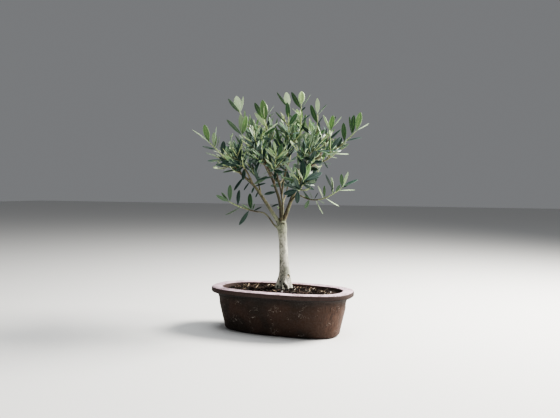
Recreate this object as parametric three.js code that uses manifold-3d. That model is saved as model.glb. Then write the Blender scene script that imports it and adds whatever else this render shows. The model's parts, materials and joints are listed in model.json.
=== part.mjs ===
// An olive tree trained as a bonsai, in an oval unglazed pot.
// Units are millimetres, +Z is up. The origin is the centre of the pot's flat underside and +X runs along the
// pot's long side. The tree has a front of its own, so it is built in a frame that is turned about the pot's
// centre and stands on the soil: there x runs to the tree's right, y to its back and z up from the soil.

import * as THREE from 'three';
import { mergeVertices } from 'three/addons/utils/BufferGeometryUtils.js';
import Module from 'manifold-3d';

const wasm = await Module();
wasm.setup();

const { degToRad, lerp } = THREE.MathUtils;

// Driving dimensions

const GAP = 0.3; // clearance between pieces that touch
const FINEST = 0.03; // details smaller than this are smoothed away
const WELD = 1e-4; // points nearer than this are one point
const TREE_TURN = degToRad(21.1); // the tree's front against the pot's long side
const UP = new THREE.Vector3(0, 0, 1);

const POT = {
  length: 300, // over the lip
  width: 160,
  height: 90,
  squareness: 2.65, // exponent of the oval: 2 is an ellipse, more is squarer
  sides: 40,
  lipWidth: 22,
  lipDepth: 11,
  lipRound: 3.4,
  waist: 16, // how far the wall stands in under the lip
  coveHeight: 24,
  foot: 26, // how far the wall stands in above its rounded foot
  footRound: 10,
  wall: 7,
  floor: 10,
};

const SOIL = {
  edge: 82, // height at the wall
  crown: 89, // height of the level patch round the trunk
  patch: 24, // radius of that patch
  bank: [0.45, 0.3], // from wall to patch: share of the way, share of the rise
  clearance: 1.5 * GAP, // from the pot's sloping wall, measured level
};

// The trunk's stations: height above the soil, radius, and how far its axis leans to the right there.
const TRUNK = {
  stations: [
    [0, 17.6, 3.4],
    [8, 16.2, 3.8],
    [17, 14.0, 5.0],
    [30, 11.6, 6.0],
    [48, 10.0, 5.2],
    [72, 9.0, 4.0],
    [95, 8.3, 2.8],
    [112, 9.0, 1.4],
    [124, 10.4, 0.2],
    [134, 9.6, -0.2],
    [139, 6.0, 0],
  ],
  rings: 14,
  sides: 15,
  ridges: 5, // root ridges of the flare
  ridgeDepth: 0.13, // their depth as a share of the radius, at the soil
  ridgeFade: 20, // height over which they fade to about a third
  ridgeTurn: 0.8,
};

const LIMB = {
  collar: 0.7, // how much thicker a limb is where it leaves its parent, as a share
  collarFade: 11, // length over which that fades to about a third
  thick: 2.2, // radius from which a limb has more sides
  thickSides: 7,
  thinSides: 5,
  step: 17, // length of one straight piece
};

// Every limb starts on the middle line of its parent, at a share of the parent's run, and tapers to its tip,
// where its foliage begins. The foliage is a mass of shoots round one leading shoot, which ends at shootTip.
const LIMBS = [
  { bough: 'left_bough', parent: 'trunk', at: 0.82,
    via: [[-21, -2, 158], [-39.6, -4, 186.6], [-56, -5, 209.5]], tip: [-77, -6, 229], root: 4.3, end: 2.4,
    leaves: 'left_outer_leaves', shootTip: [-150, -8, 300], sideShoots: 5, seed: 15 },
  { bough: 'middle_bough', parent: 'trunk', at: 0.86,
    via: [[-4.5, -6, 178], [-13, -11, 205.5]], tip: [-24, -14, 235], root: 3.7, end: 2.1,
    leaves: 'left_upper_leaves', shootTip: [-91, -10, 366], sideShoots: 6, seed: 108 },
  { bough: 'right_bough', parent: 'trunk', at: 0.86,
    via: [[12.8, 1, 164], [22.5, 2, 191], [46, 4, 238], [68, 3, 265]], tip: [87, 1, 274], root: 4.3, end: 2.0,
    leaves: 'right_outer_leaves', shootTip: [151, -2, 324], sideShoots: 4, seed: 116 },
  { bough: 'back_bough', parent: 'trunk', at: 0.84,
    via: [[2, 14, 168], [-2, 25, 200]], tip: [-9, 30, 228], root: 2.6, end: 1.7,
    leaves: 'centre_left_leaves', shootTip: [-38.3, 24, 362], sideShoots: 6, seed: 117 },
  { bough: 'low_left_branch', parent: 'trunk', at: 0.73, via: [[-15, -3, 130], [-28, -4, 147.5], [-38, -5, 155.5]],
    tip: [-50, -6, 157.5], root: 1.9, end: 1.3,
    leaves: 'low_left_leaves', shootTip: [-108, -10, 178], sideShoots: 0, seed: 1444 },
  { bough: 'low_right_branch', parent: 'right_bough', at: 0.36, via: [[36, -3, 191]],
    tip: [48, -6, 186], root: 1.7, end: 1.3,
    leaves: 'low_right_leaves', shootTip: [123, -14, 209], sideShoots: 0, seed: 134 },
  { bough: 'low_back_branch', parent: 'back_bough', at: 0.4, via: [[6, 36, 186]],
    tip: [11, 58, 204], root: 1.7, end: 1.3,
    leaves: 'low_back_leaves', shootTip: [30, 116, 246], sideShoots: 3, seed: 25 },
  { bough: 'front_right_branch', parent: 'right_bough', at: 0.3, via: [[27, -20, 190]],
    tip: [34, -44, 202], root: 1.9, end: 1.5,
    leaves: 'front_right_leaves', shootTip: [41, -92, 220], sideShoots: 4, seed: 440 },
  { bough: 'front_branch', parent: 'middle_bough', at: 0.75, via: [[-16, -21, 216]],
    tip: [-15, -32, 230], root: 1.8, end: 1.4,
    leaves: 'centre_front_leaves', shootTip: [-12.4, -64, 280], sideShoots: 4, seed: 76 },
  { bough: 'front_high_branch', parent: 'right_bough', at: 0.48, via: [[36, -13, 222]],
    tip: [40, -30, 238], root: 1.8, end: 1.4,
    leaves: 'front_high_leaves', shootTip: [53, -84, 292], sideShoots: 4, seed: 26 },
  { bough: 'front_left_branch', parent: 'middle_bough', at: 0.9, via: [[-27, -25, 236]],
    tip: [-36, -40, 254], root: 1.7, end: 1.4,
    leaves: 'front_left_leaves', shootTip: [-56, -84, 314], sideShoots: 4, seed: 112 },
  { bough: 'left_front_branch', parent: 'left_bough', at: 0.82, via: [[-64, -15, 225]],
    tip: [-73, -28, 240], root: 1.8, end: 1.4,
    leaves: 'left_front_leaves', shootTip: [-98, -60, 284], sideShoots: 4, seed: 47 },
  { bough: 'left_back_branch', parent: 'left_bough', at: 0.86, via: [[-69, 14, 232]],
    tip: [-80, 36, 250], root: 1.8, end: 1.4,
    leaves: 'left_back_leaves', shootTip: [-114, 84, 306], sideShoots: 3, seed: 91 },
  { bough: 'left_inner_branch', parent: 'left_bough', at: 0.6, via: [[-45, 2, 200]],
    tip: [-47, 5, 210], root: 1.7, end: 1.4,
    leaves: 'left_inner_leaves', shootTip: [-65, 16, 300], sideShoots: 4, seed: 12 },
  { bough: 'top_left_branch', parent: 'back_bough', at: 0.6, via: [[2, 18, 212]],
    tip: [5, 8, 228], root: 1.8, end: 1.5,
    leaves: 'top_left_leaves', shootTip: [11.2, -16, 378], sideShoots: 6, seed: 11 },
  { bough: 'top_right_branch', parent: 'right_bough', at: 0.42, via: [[31, 15, 224]],
    tip: [33, 24, 246], root: 2.0, end: 1.6,
    leaves: 'top_right_leaves', shootTip: [39.5, 34, 384], sideShoots: 6, seed: 43 },
  { bough: 'right_crown_branch', parent: 'right_bough', at: 0.64, via: [[54, -4, 256]],
    tip: [60, -8, 273], root: 1.8, end: 1.5,
    leaves: 'right_crown_leaves', shootTip: [70.5, -14, 362], sideShoots: 5, seed: 28 },
  { bough: 'shoulder_branch', parent: 'right_bough', at: 0.88, via: [[80, 9, 279]],
    tip: [86, 15, 290], root: 1.7, end: 1.4,
    leaves: 'shoulder_leaves', shootTip: [102, 22, 334], sideShoots: 3, seed: 74 },
  { bough: 'right_front_branch', parent: 'right_bough', at: 0.68, via: [[64, -10, 256]],
    tip: [75, -22, 258], root: 1.7, end: 1.4,
    leaves: 'right_front_leaves', shootTip: [106, -44, 276], sideShoots: 3, seed: 60 },
  { bough: 'back_centre_branch', parent: 'back_bough', at: 0.84, via: [[0, 44, 222]],
    tip: [7, 62, 238], root: 1.7, end: 1.4,
    leaves: 'back_centre_leaves', shootTip: [22, 120, 300], sideShoots: 3, seed: 91 },
  { bough: 'back_left_branch', parent: 'back_bough', at: 0.92, via: [[-20, 42, 236]],
    tip: [-34, 56, 256], root: 1.7, end: 1.4,
    leaves: 'back_left_leaves', shootTip: [-62, 96, 344], sideShoots: 3, seed: 96 },
  { bough: 'back_right_branch', parent: 'right_bough', at: 0.52, via: [[48, 24, 236]],
    tip: [62, 46, 250], root: 1.8, end: 1.4,
    leaves: 'back_right_leaves', shootTip: [106, 98, 296], sideShoots: 3, seed: 61 },
  { bough: 'back_top_branch', parent: 'top_right_branch', at: 0.72, via: [[38, 38, 252]],
    tip: [46, 56, 276], root: 1.6, end: 1.3,
    leaves: 'back_top_leaves', shootTip: [60, 88, 358], sideShoots: 3, seed: 90 },
];

const SHOOT = {
  sides: 3,
  step: 17, // length of one straight piece
  bend: 0.45, // how far a leading shoot keeps the heading of its limb, as a share of its length
  sideLength: 52, // of a side shoot low on its leading shoot
  sideShorter: 0.4, // by how much it is shorter at the top
  sideAngle: degToRad(50),
  turn: degToRad(137.5), // from one side shoot to the next round the leading shoot
  first: 0.1, // where side shoots start and stop along the leading shoot
  last: 0.78,
  stray: 0.6, // how far it may start beyond its place, as a share of the way to the next
  lift: 0.55, // how strongly a side shoot curves up
  vary: 0.15, // how much longer or shorter it may be, as a share
  tipRadius: 0.8,
  sideRadius: 1.3,
  lengthsTried: [1, 0.8, 0.6],
  looked: [0.4, 0.7, 1], // where along a side shoot its space is looked at
};

const LEAF = {
  length: 38,
  width: 11,
  keel: 1.0, // depth of the keel under the blade
  widest: 0.46, // where it is widest, as a share of its length
  sunk: 0.45, // how far its foot goes past the middle of the shoot
  spacing: 18.5, // from one pair to the next
  firstPair: 7, // from the foot of the shoot
  lastPair: 0.985, // as a share of the shoot
  shortest: 0.8, // share of the full length at the foot and tip of a shoot
  longest: 1.05, // and half way up it
  vary: 0.1,
  wideAngle: degToRad(58), // at the foot of a shoot
  closeAngle: degToRad(26), // near its tip
  tipAngle: degToRad(15), // of the last pair
  wobble: degToRad(9),
  faces: [0, 1, 2, 0, 3, 1, 0, 2, 3, 4, 2, 1, 4, 1, 3, 4, 3, 2],
  anglesTried: [1, 0.6],
};

const SPACE = {
  sites: [0.05, 0.35, 0.65, 1], // shares of a leading shoot that claim the space round them
  margin: 0.9, // from a leaf or shoot to the edge of its mass's space
  limbMargin: 1.2, // and to the nearest limb
  limbStep: 6, // between the points of a limb that are looked at
};

// Colours, as the bare solids show them

const FINISHES = {
  stoneware: { color: 0x4a322b, roughness: 0.8 },
  earth: { color: 0x2c211b, roughness: 1 },
  trunkBark: { color: 0x9a9c8b, roughness: 0.9 },
  boughBark: { color: 0x6f6a58, roughness: 0.9 },
  foliage: { color: 0x5d7a4f, roughness: 0.6 },
};

// Solids and meshes

function geometryOf(positions, indices) {
  const geometry = new THREE.BufferGeometry();
  geometry.setAttribute('position', new THREE.Float32BufferAttribute(positions, 3));
  geometry.setIndex(indices);
  return geometry;
}

// A closed skin over a row of rings that have the same number of points, with a flat fan over each end.
function loft(rings) {
  const sides = rings[0].length;
  const centre = (ring) => ring.reduce((sum, p) => sum.add(p), new THREE.Vector3()).divideScalar(sides);
  const points = [...rings.flat(), centre(rings[0]), centre(rings.at(-1))];
  const foot = rings.length * sides;
  const indices = [];
  for (let i = 0; i < sides; i++) {
    const next = (i + 1) % sides;
    for (let r = 0; r < rings.length - 1; r++) {
      const low = r * sides;
      const high = low + sides;
      indices.push(low + i, low + next, high + next, low + i, high + next, high + i);
    }
    indices.push(foot, next, i);
    indices.push(foot + 1, foot - sides + i, foot - sides + next);
  }
  return geometryOf(points.flatMap((p) => p.toArray()), indices);
}

function solidOf(geometry) {
  const merged = mergeVertices(geometry, WELD);
  return new wasm.Manifold(
    new wasm.Mesh({
      numProp: 3,
      vertProperties: merged.attributes.position.array,
      triVerts: new Uint32Array(merged.index.array),
    }),
  );
}

// The largest body of a solid, so that sealed hollows are filled and loose scraps are dropped.
function mainBody(solid) {
  return solid.decompose().reduce((best, body) => (body.volume() > best.volume() ? body : best));
}

function meshOf(name, solid, finish) {
  const { vertProperties, triVerts } = mainBody(solid.asOriginal().simplify(FINEST)).getMesh();
  const geometry = geometryOf(Array.from(vertProperties), Array.from(triVerts));
  geometry.computeVertexNormals();
  const mesh = new THREE.Mesh(geometry, new THREE.MeshStandardMaterial({ metalness: 0, ...finish }));
  mesh.name = name;
  return mesh;
}

// Pot and soil

const turns = (count) => Array.from({ length: count }, (_, i) => (2 * Math.PI * i) / count);

// One level line round the oval, standing in from the lip's edge by the inset.
function ovalRing(inset, height) {
  const halfLength = POT.length / 2 - inset;
  const halfWidth = POT.width / 2 - inset;
  const bulge = (value) => Math.sign(value) * Math.abs(value) ** (2 / POT.squareness);
  return turns(POT.sides).map(
    (angle) =>
      new THREE.Vector3(halfLength * bulge(Math.cos(angle)), halfWidth * bulge(Math.sin(angle)), height),
  );
}

// How far the inside of the wall stands in from the lip's edge at a height.
function innerInset(height) {
  const share = (height - POT.floor) / (POT.height - POT.floor);
  return lerp(POT.foot + POT.wall, POT.lipWidth, share);
}

function makePot() {
  const lipBottom = POT.height - POT.lipDepth;
  const lipEdge = POT.height - POT.lipRound;
  const profile = new THREE.Path();
  profile.moveTo(POT.foot + POT.footRound, 0);
  profile.quadraticCurveTo(POT.foot, 0, POT.foot, POT.footRound);
  profile.lineTo(POT.waist, lipBottom - POT.coveHeight);
  profile.quadraticCurveTo(POT.waist, lipBottom, POT.lipRound, lipBottom);
  profile.quadraticCurveTo(0, lipBottom, 0, lipBottom + POT.lipRound);
  profile.lineTo(0, lipEdge);
  profile.quadraticCurveTo(0, POT.height, POT.lipRound, POT.height);
  profile.lineTo(POT.lipWidth - POT.lipRound, POT.height);
  profile.quadraticCurveTo(POT.lipWidth, POT.height, innerInset(lipEdge), lipEdge);
  profile.lineTo(innerInset(POT.floor), POT.floor);
  return solidOf(loft(profile.getPoints(2).map((p) => ovalRing(p.x, p.y))));
}

function makeSoil() {
  const bottom = POT.floor + GAP;
  const wallRing = (height) => ovalRing(innerInset(height) + SOIL.clearance, height);
  const edge = wallRing(SOIL.edge);
  const middle = new THREE.Vector3(TRUNK.stations[0][2], 0, 0).applyAxisAngle(UP, TREE_TURN);
  const patch = turns(POT.sides).map((angle) => {
    const outward = new THREE.Vector3(Math.cos(angle), Math.sin(angle), 0);
    return outward.multiplyScalar(SOIL.patch).add(middle).setZ(SOIL.crown);
  });
  const [share, rise] = SOIL.bank;
  const bank = edge.map((p, i) => p.clone().lerp(patch[i], share).setZ(lerp(SOIL.edge, SOIL.crown, rise)));
  return solidOf(loft([wallRing(bottom), edge, bank, patch]));
}

// Trunk and limbs

const trunkShape = new THREE.CatmullRomCurve3(
  TRUNK.stations.map(([height, radius, lean]) => new THREE.Vector3(lean, radius, GAP + height)),
);
const trunkLine = new THREE.CatmullRomCurve3(
  TRUNK.stations.map(([height, , lean]) => new THREE.Vector3(lean, 0, GAP + height)),
);

function makeTrunk(swell) {
  const rings = trunkShape.getPoints(TRUNK.rings - 1).map(({ x: lean, y: radius, z: height }) => {
    const depth = TRUNK.ridgeDepth * Math.exp(-height / TRUNK.ridgeFade);
    return turns(TRUNK.sides).map((angle) => {
      const reach = radius * (1 + depth * Math.cos(TRUNK.ridges * angle + TRUNK.ridgeTurn)) + swell;
      return new THREE.Vector3(lean + reach * Math.cos(angle), reach * Math.sin(angle), height);
    });
  });
  rings.at(-1).forEach((p) => p.setZ(p.z + swell));
  return solidOf(loft(rings));
}

// Rings round a curve and square to it, carried along without twist.
function ringsAlong(curve, radiusAt, sides, steps) {
  const frames = curve.computeFrenetFrames(steps, false);
  return Array.from({ length: steps + 1 }, (_, k) => {
    const radius = radiusAt(k / steps);
    return turns(sides).map((angle) =>
      curve
        .getPointAt(k / steps)
        .addScaledVector(frames.normals[k], radius * Math.cos(angle))
        .addScaledVector(frames.binormals[k], radius * Math.sin(angle)),
    );
  });
}

const limbs = new Map([['trunk', { line: trunkLine, radiusAt: (share) => trunkShape.getPoint(share).y }]]);

for (const spec of LIMBS) {
  const start = limbs.get(spec.parent).line.getPoint(spec.at);
  const route = [start, ...[...spec.via, spec.tip].map((p) => new THREE.Vector3(...p))];
  const line = new THREE.CatmullRomCurve3(route);
  const length = line.getLength();
  const radiusAt = (share) =>
    lerp(spec.root, spec.end, share) * (1 + LIMB.collar * Math.exp((-share * length) / LIMB.collarFade));
  limbs.set(spec.bough, { line, length, radiusAt });
}

function limbSolid({ line, length, radiusAt }, swell) {
  const sides = radiusAt(0.5) > LIMB.thick ? LIMB.thickSides : LIMB.thinSides;
  const steps = Math.max(3, Math.round(length / LIMB.step));
  return solidOf(loft(ringsAlong(line, (share) => radiusAt(share) + swell, sides, steps)));
}

// The space of each mass

const masses = LIMBS.map((spec) => {
  const { line } = limbs.get(spec.bough);
  const heading = line.getTangent(1);
  const start = line.getPoint(1).addScaledVector(heading, GAP);
  const end = new THREE.Vector3(...spec.shootTip);
  const bend = start.clone().addScaledVector(heading, SHOOT.bend * start.distanceTo(end));
  const leader = new THREE.QuadraticBezierCurve3(start, bend, end);
  return { ...spec, leader, sites: SPACE.sites.map((share) => leader.getPoint(share)) };
});

// How far a point is inside the space that is nearer to this mass than to any other.
function roomInside(mass, point) {
  const own = mass.sites.reduce((best, s) => (s.distanceTo(point) < best.distanceTo(point) ? s : best));
  const ownSquared = own.distanceToSquared(point);
  const others = masses.filter((other) => other !== mass).flatMap((other) => other.sites);
  const room = (site) => (site.distanceToSquared(point) - ownSquared) / (2 * site.distanceTo(own));
  return Math.min(...others.map(room));
}

const limbPoints = [...limbs.values()].flatMap(({ line, radiusAt }) => {
  const steps = Math.ceil(line.getLength() / SPACE.limbStep);
  const shares = Array.from({ length: steps + 1 }, (_, k) => k / steps);
  return shares.map((share) => ({ point: line.getPoint(share), radius: radiusAt(share) }));
});

function fits(mass, points) {
  return points.every(
    (p) =>
      roomInside(mass, p) > SPACE.margin &&
      limbPoints.every(({ point, radius }) => point.distanceTo(p) > radius + SPACE.limbMargin),
  );
}

// Shoots and leaves

// A repeatable stream of numbers from 0 to 1.
function seeded(seed) {
  let state = seed >>> 0;
  return () => {
    state = (state + 0x6d2b79f5) >>> 0;
    let mixed = Math.imul(state ^ (state >>> 15), 1 | state);
    mixed = (mixed + Math.imul(mixed ^ (mixed >>> 7), 61 | mixed)) ^ mixed;
    return ((mixed ^ (mixed >>> 14)) >>> 0) / 4294967296;
  };
}

// A factor round 1 that is larger or smaller by up to the amount.
const varied = (amount, random) => 1 + amount * (2 * random() - 1);

// A unit vector square to the heading, at an angle round it from its upper side.
function aside(heading, angle) {
  const side = new THREE.Vector3().crossVectors(heading, UP).normalize();
  const top = new THREE.Vector3().crossVectors(side, heading);
  return top.multiplyScalar(Math.cos(angle)).addScaledVector(side, Math.sin(angle));
}

// The heading turned away from itself by an angle, towards a vector that is square to it.
function turned(heading, out, angle) {
  return heading.clone().multiplyScalar(Math.cos(angle)).addScaledVector(out, Math.sin(angle));
}

// A shoot that leaves the leading one at an angle and curves up, at the greatest length that fits, or none.
function sideShoot(mass, share, angle, length) {
  const start = mass.leader.getPoint(share);
  const heading = mass.leader.getTangent(share);
  const out = turned(heading, aside(heading, angle), SHOOT.sideAngle);
  const lifted = out.clone().addScaledVector(UP, SHOOT.lift).normalize();
  return SHOOT.lengthsTried
    .map((part) => {
      const bend = start.clone().addScaledVector(out, 0.5 * part * length);
      const end = bend.clone().addScaledVector(lifted, 0.5 * part * length);
      return new THREE.QuadraticBezierCurve3(start, bend, end);
    })
    .find((line) => fits(mass, SHOOT.looked.map((s) => line.getPoint(s))));
}

function shootsOf(mass, random) {
  const shoots = [{ line: mass.leader, root: mass.end, end: SHOOT.tipRadius }];
  const phase = 2 * Math.PI * random();
  for (let k = 0; k < mass.sideShoots; k++) {
    const share = lerp(SHOOT.first, SHOOT.last, (k + SHOOT.stray * random()) / mass.sideShoots);
    const length = SHOOT.sideLength * (1 - SHOOT.sideShorter * share) * varied(SHOOT.vary, random);
    const line = sideShoot(mass, share, phase + k * SHOOT.turn, length);
    if (line) shoots.push({ line, root: SHOOT.sideRadius, end: SHOOT.tipRadius });
  }
  return shoots;
}

// A leaf is a flat blade with a keel under it: a point at its foot, three where it is widest, one at its tip.
function leafPoints(foot, heading, across, length) {
  const under = new THREE.Vector3().crossVectors(across, heading);
  const wide = foot.clone().addScaledVector(heading, LEAF.widest * length);
  const halfWidth = (0.5 * LEAF.width * length) / LEAF.length;
  return [
    foot.clone().addScaledVector(heading, -LEAF.sunk),
    wide.clone().addScaledVector(across, -halfWidth),
    wide.clone().addScaledVector(across, halfWidth),
    wide.clone().addScaledVector(under, LEAF.keel),
    foot.clone().addScaledVector(heading, length),
  ];
}

// One leaf of a shoot, at the widest angle that keeps it in its mass's space, or none.
function leafAt(mass, line, share, turn, angle, length) {
  const foot = line.getPoint(share);
  const stem = line.getTangent(share);
  const out = aside(stem, turn);
  const across = new THREE.Vector3().crossVectors(stem, out);
  return LEAF.anglesTried
    .map((part) => leafPoints(foot, turned(stem, out, part * angle), across, length))
    .find((points) => fits(mass, points.slice(1)));
}

// Opposite pairs up a shoot, each pair square to the one below and closing up towards the tip.
function leavesOf(mass, { line }, random) {
  const length = line.v0.distanceTo(line.v2);
  const pairs = Math.max(1, Math.round((length - LEAF.firstPair) / LEAF.spacing));
  const phase = Math.PI * random();
  const leaves = [];
  for (let pair = 0; pair <= pairs; pair++) {
    const share = lerp(LEAF.firstPair / length, LEAF.lastPair, pair / pairs);
    const opening = pair === pairs ? LEAF.tipAngle : lerp(LEAF.wideAngle, LEAF.closeAngle, share);
    for (const side of [0, Math.PI]) {
      const angle = opening + LEAF.wobble * (random() - 0.5);
      const turn = phase + (pair * Math.PI) / 2 + side + LEAF.wobble * (random() - 0.5);
      const size = lerp(LEAF.shortest, LEAF.longest, Math.sin(Math.PI * share)) * varied(LEAF.vary, random);
      leaves.push(leafAt(mass, line, share, turn, angle, LEAF.length * size));
    }
  }
  return leaves.filter(Boolean);
}

function grow(mass) {
  const random = seeded(mass.seed);
  const shoots = shootsOf(mass, random);
  return { shoots, leaves: shoots.flatMap((shoot) => leavesOf(mass, shoot, random)) };
}

function shootSolid({ line, root, end }) {
  const steps = Math.max(2, Math.round(line.v0.distanceTo(line.v2) / SHOOT.step));
  return solidOf(loft(ringsAlong(line, (share) => lerp(root, end, share), SHOOT.sides, steps)));
}

function leafSolid(points) {
  return solidOf(geometryOf(points.flatMap((p) => p.toArray()), LEAF.faces));
}

function makeMass(mass) {
  const { shoots, leaves } = grow(mass);
  return [...shoots.map(shootSolid), ...leaves.map(leafSolid)].reduce((whole, piece) => whole.add(piece));
}

// Assembly

const bonsai = new THREE.Group();
const tree = new THREE.Group();
tree.rotation.z = TREE_TURN;
tree.position.z = SOIL.crown;
bonsai.add(tree);

bonsai.add(meshOf('pot', makePot(), FINISHES.stoneware));
bonsai.add(meshOf('soil', makeSoil(), FINISHES.earth));
tree.add(meshOf('trunk', makeTrunk(0), FINISHES.trunkBark));

// Each limb is cut clear of the trunk and of every limb before it.
const cutters = [makeTrunk(GAP)];
for (const { bough } of LIMBS) {
  const limb = limbs.get(bough);
  const cut = cutters.reduce((solid, cutter) => solid.subtract(cutter), limbSolid(limb, 0));
  tree.add(meshOf(bough, cut, FINISHES.boughBark));
  cutters.push(limbSolid(limb, GAP));
}

for (const mass of masses) {
  tree.add(meshOf(mass.leaves, makeMass(mass), FINISHES.foliage));
}

export default bonsai;
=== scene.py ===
"""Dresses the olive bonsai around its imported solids: bark, shoots, leaves, soil, pot, floor, lights and camera.

Sizes are in millimetres, as a maker would take them from the real tree, and the pieces are made in metres. The tree
has a frame of its own, turned about the pot's centre: x runs to its right, y to its back and z up from the soil.
"""

import json
import logging
import math
from collections.abc import Callable, Sequence
from dataclasses import dataclass, field
from enum import Enum

import bpy
import numpy as np
from mathutils import Matrix, Vector, noise
from numpy.linalg import norm

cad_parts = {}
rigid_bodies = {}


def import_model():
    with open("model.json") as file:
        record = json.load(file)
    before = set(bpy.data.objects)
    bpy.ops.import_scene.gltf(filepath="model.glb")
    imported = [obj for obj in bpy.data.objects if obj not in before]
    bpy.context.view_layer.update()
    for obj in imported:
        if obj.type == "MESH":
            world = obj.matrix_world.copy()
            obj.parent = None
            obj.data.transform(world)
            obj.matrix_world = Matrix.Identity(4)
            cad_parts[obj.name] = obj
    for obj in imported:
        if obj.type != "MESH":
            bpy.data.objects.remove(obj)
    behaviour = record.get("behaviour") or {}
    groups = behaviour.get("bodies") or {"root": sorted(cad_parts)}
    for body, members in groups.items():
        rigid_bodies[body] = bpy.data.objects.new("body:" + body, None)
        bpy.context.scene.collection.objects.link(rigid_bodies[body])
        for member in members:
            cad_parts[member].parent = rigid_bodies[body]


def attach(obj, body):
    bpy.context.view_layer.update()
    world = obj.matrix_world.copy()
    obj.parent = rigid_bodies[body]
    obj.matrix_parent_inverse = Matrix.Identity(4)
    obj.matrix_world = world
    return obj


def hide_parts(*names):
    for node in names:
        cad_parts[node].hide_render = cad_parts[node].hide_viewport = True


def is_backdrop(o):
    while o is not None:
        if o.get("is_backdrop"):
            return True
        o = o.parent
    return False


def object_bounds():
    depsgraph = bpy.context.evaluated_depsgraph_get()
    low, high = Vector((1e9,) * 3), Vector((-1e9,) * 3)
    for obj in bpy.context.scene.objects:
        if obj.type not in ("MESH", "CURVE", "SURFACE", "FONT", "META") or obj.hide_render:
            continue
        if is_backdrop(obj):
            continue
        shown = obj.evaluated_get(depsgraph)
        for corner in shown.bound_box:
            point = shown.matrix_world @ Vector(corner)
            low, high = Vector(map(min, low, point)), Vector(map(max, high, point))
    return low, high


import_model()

Array = np.ndarray
Floats = Sequence[float]
Points = Sequence[Floats]
Colour = tuple[float, float, float]
Path = list[tuple[float, float]]
Material = bpy.types.Material
Mesh = bpy.types.Mesh
Socket = bpy.types.NodeSocket

CAD_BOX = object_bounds()
LOG = logging.getLogger("bonsai")

MM = 0.001
GAP = 0.3  # between neighbouring solids
UP = np.array([0.0, 0.0, 1.0])
TREE_TURN = math.radians(21.1)
SOIL_CROWN = 89.0  # the soil's height at the trunk
WORD = 0xFFFFFFFF
BOTH_SIDES = (0.0, math.pi)


# Numbers, lines and frames


@dataclass
class Stream:
    """A repeatable stream of numbers from 0 to 1, the same one that the solids were grown from."""

    STEP = 0x6D2B79F5

    seed: int

    def __call__(self) -> float:
        """Draws the next number."""
        self.seed = (self.seed + self.STEP) & WORD
        mixed = ((self.seed ^ self.seed >> 15) * (1 | self.seed)) & WORD
        mixed = ((mixed + (((mixed ^ mixed >> 7) * (61 | mixed)) & WORD)) & WORD) ^ mixed
        return ((mixed ^ mixed >> 14) & WORD) / (WORD + 1)

    def between(self, low: float, high: float) -> float:
        """Draws a number from low to high."""
        return low + (high - low) * self()

    def varied(self, amount: float) -> float:
        """Draws a factor round 1 that is larger or smaller by up to the amount."""
        return 1 + amount * (2 * self() - 1)


def lerp(low: float, high: float, share: float) -> float:
    """The value at a share of the way from low to high."""
    return low + (high - low) * share


def unit(vector: Array) -> Array:
    """The vector at length 1."""
    return vector / norm(vector)


def smoothstep(low: float, high: float, value: Array) -> Array:
    """0 below low, 1 above high and a smooth rise between."""
    share = np.clip((value - low) / (high - low), 0, 1)
    return share * share * (3 - 2 * share)


def grain(points: Array, scale: Floats, shift: float = 0.0) -> Array:
    """Smooth noise from about -1 to 1 at each point, and noise twice as fine at half the height.

    Args:
        points: places in millimetres.
        scale: waves per millimetre along x, y and z.
        shift: moves the noise, so that two of them differ.

    Returns:
        One number for each point.
    """
    total = np.zeros(len(points))
    for finer, apart in ((1.0, 0.0), (2.0, 7.3)):
        places = points * (np.array(scale) * finer) + shift + apart
        total += np.fromiter((noise.noise(place) for place in places), float, len(points)) / finer
    return total


class Line:
    """A curve with a place for each share of its run, from 0 to 1."""

    FINE = np.linspace(0, 1, 201)
    NEAR = 1e-4

    def at(self, share: float) -> Array:
        """The point at a share of the run."""
        raise NotImplementedError

    def heading(self, share: float) -> Array:
        """The unit vector along the run at a share of it."""
        return unit(self.at(min(1.0, share + self.NEAR)) - self.at(max(0.0, share - self.NEAR)))

    def length(self) -> float:
        """The length of the run."""
        points = np.array([self.at(share) for share in self.FINE])
        return float(norm(np.diff(points, axis=0), axis=1).sum())

    def evenly(self, count: int) -> Array:
        """A number of points spaced evenly along the run."""
        fine = np.array([self.at(share) for share in self.FINE])
        run = np.concatenate([[0], norm(np.diff(fine, axis=0), axis=1).cumsum()])
        places = np.linspace(0, run[-1], count)
        return np.stack([np.interp(places, run, fine[:, axis]) for axis in range(3)], -1)


@dataclass
class SmoothLine(Line):
    """A centripetal spline through its points."""

    points: Array

    def at(self, share: float) -> Array:
        """The point at a share of the run, where every point takes an equal share."""
        last = len(self.points) - 1
        place = min(int(last * share), last - 1)
        weight = last * share - place
        before, start, end, after = (self._point(place + step) for step in (-1, 0, 1, 2))
        gaps = [math.sqrt(norm(b - a)) for a, b in ((before, start), (start, end), (end, after))]
        first, middle, final = gaps
        out = (start - before) / first - (end - before) / (first + middle) + (end - start) / middle
        into = (end - start) / middle - (after - start) / (middle + final) + (after - end) / final
        out, into = out * middle, into * middle
        square = -3 * start + 3 * end - 2 * out - into
        cube = 2 * start - 2 * end + out + into
        return start + weight * (out + weight * (square + weight * cube))

    def _point(self, index: int) -> Array:
        """A point of the spline, or the one that its end piece would go on to."""
        last = len(self.points) - 1
        if index < 0:
            return 2 * self.points[0] - self.points[1]
        if index > last:
            return 2 * self.points[last] - self.points[last - 1]
        return self.points[index]


@dataclass
class BentLine(Line):
    """A curve with one bend."""

    start: Array
    bend: Array
    end: Array

    def at(self, share: float) -> Array:
        """The point at a share of the run."""
        rest = 1 - share
        return rest * rest * self.start + 2 * rest * share * self.bend + share * share * self.end

    def chord(self) -> float:
        """The straight distance from start to end."""
        return float(norm(self.end - self.start))


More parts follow.
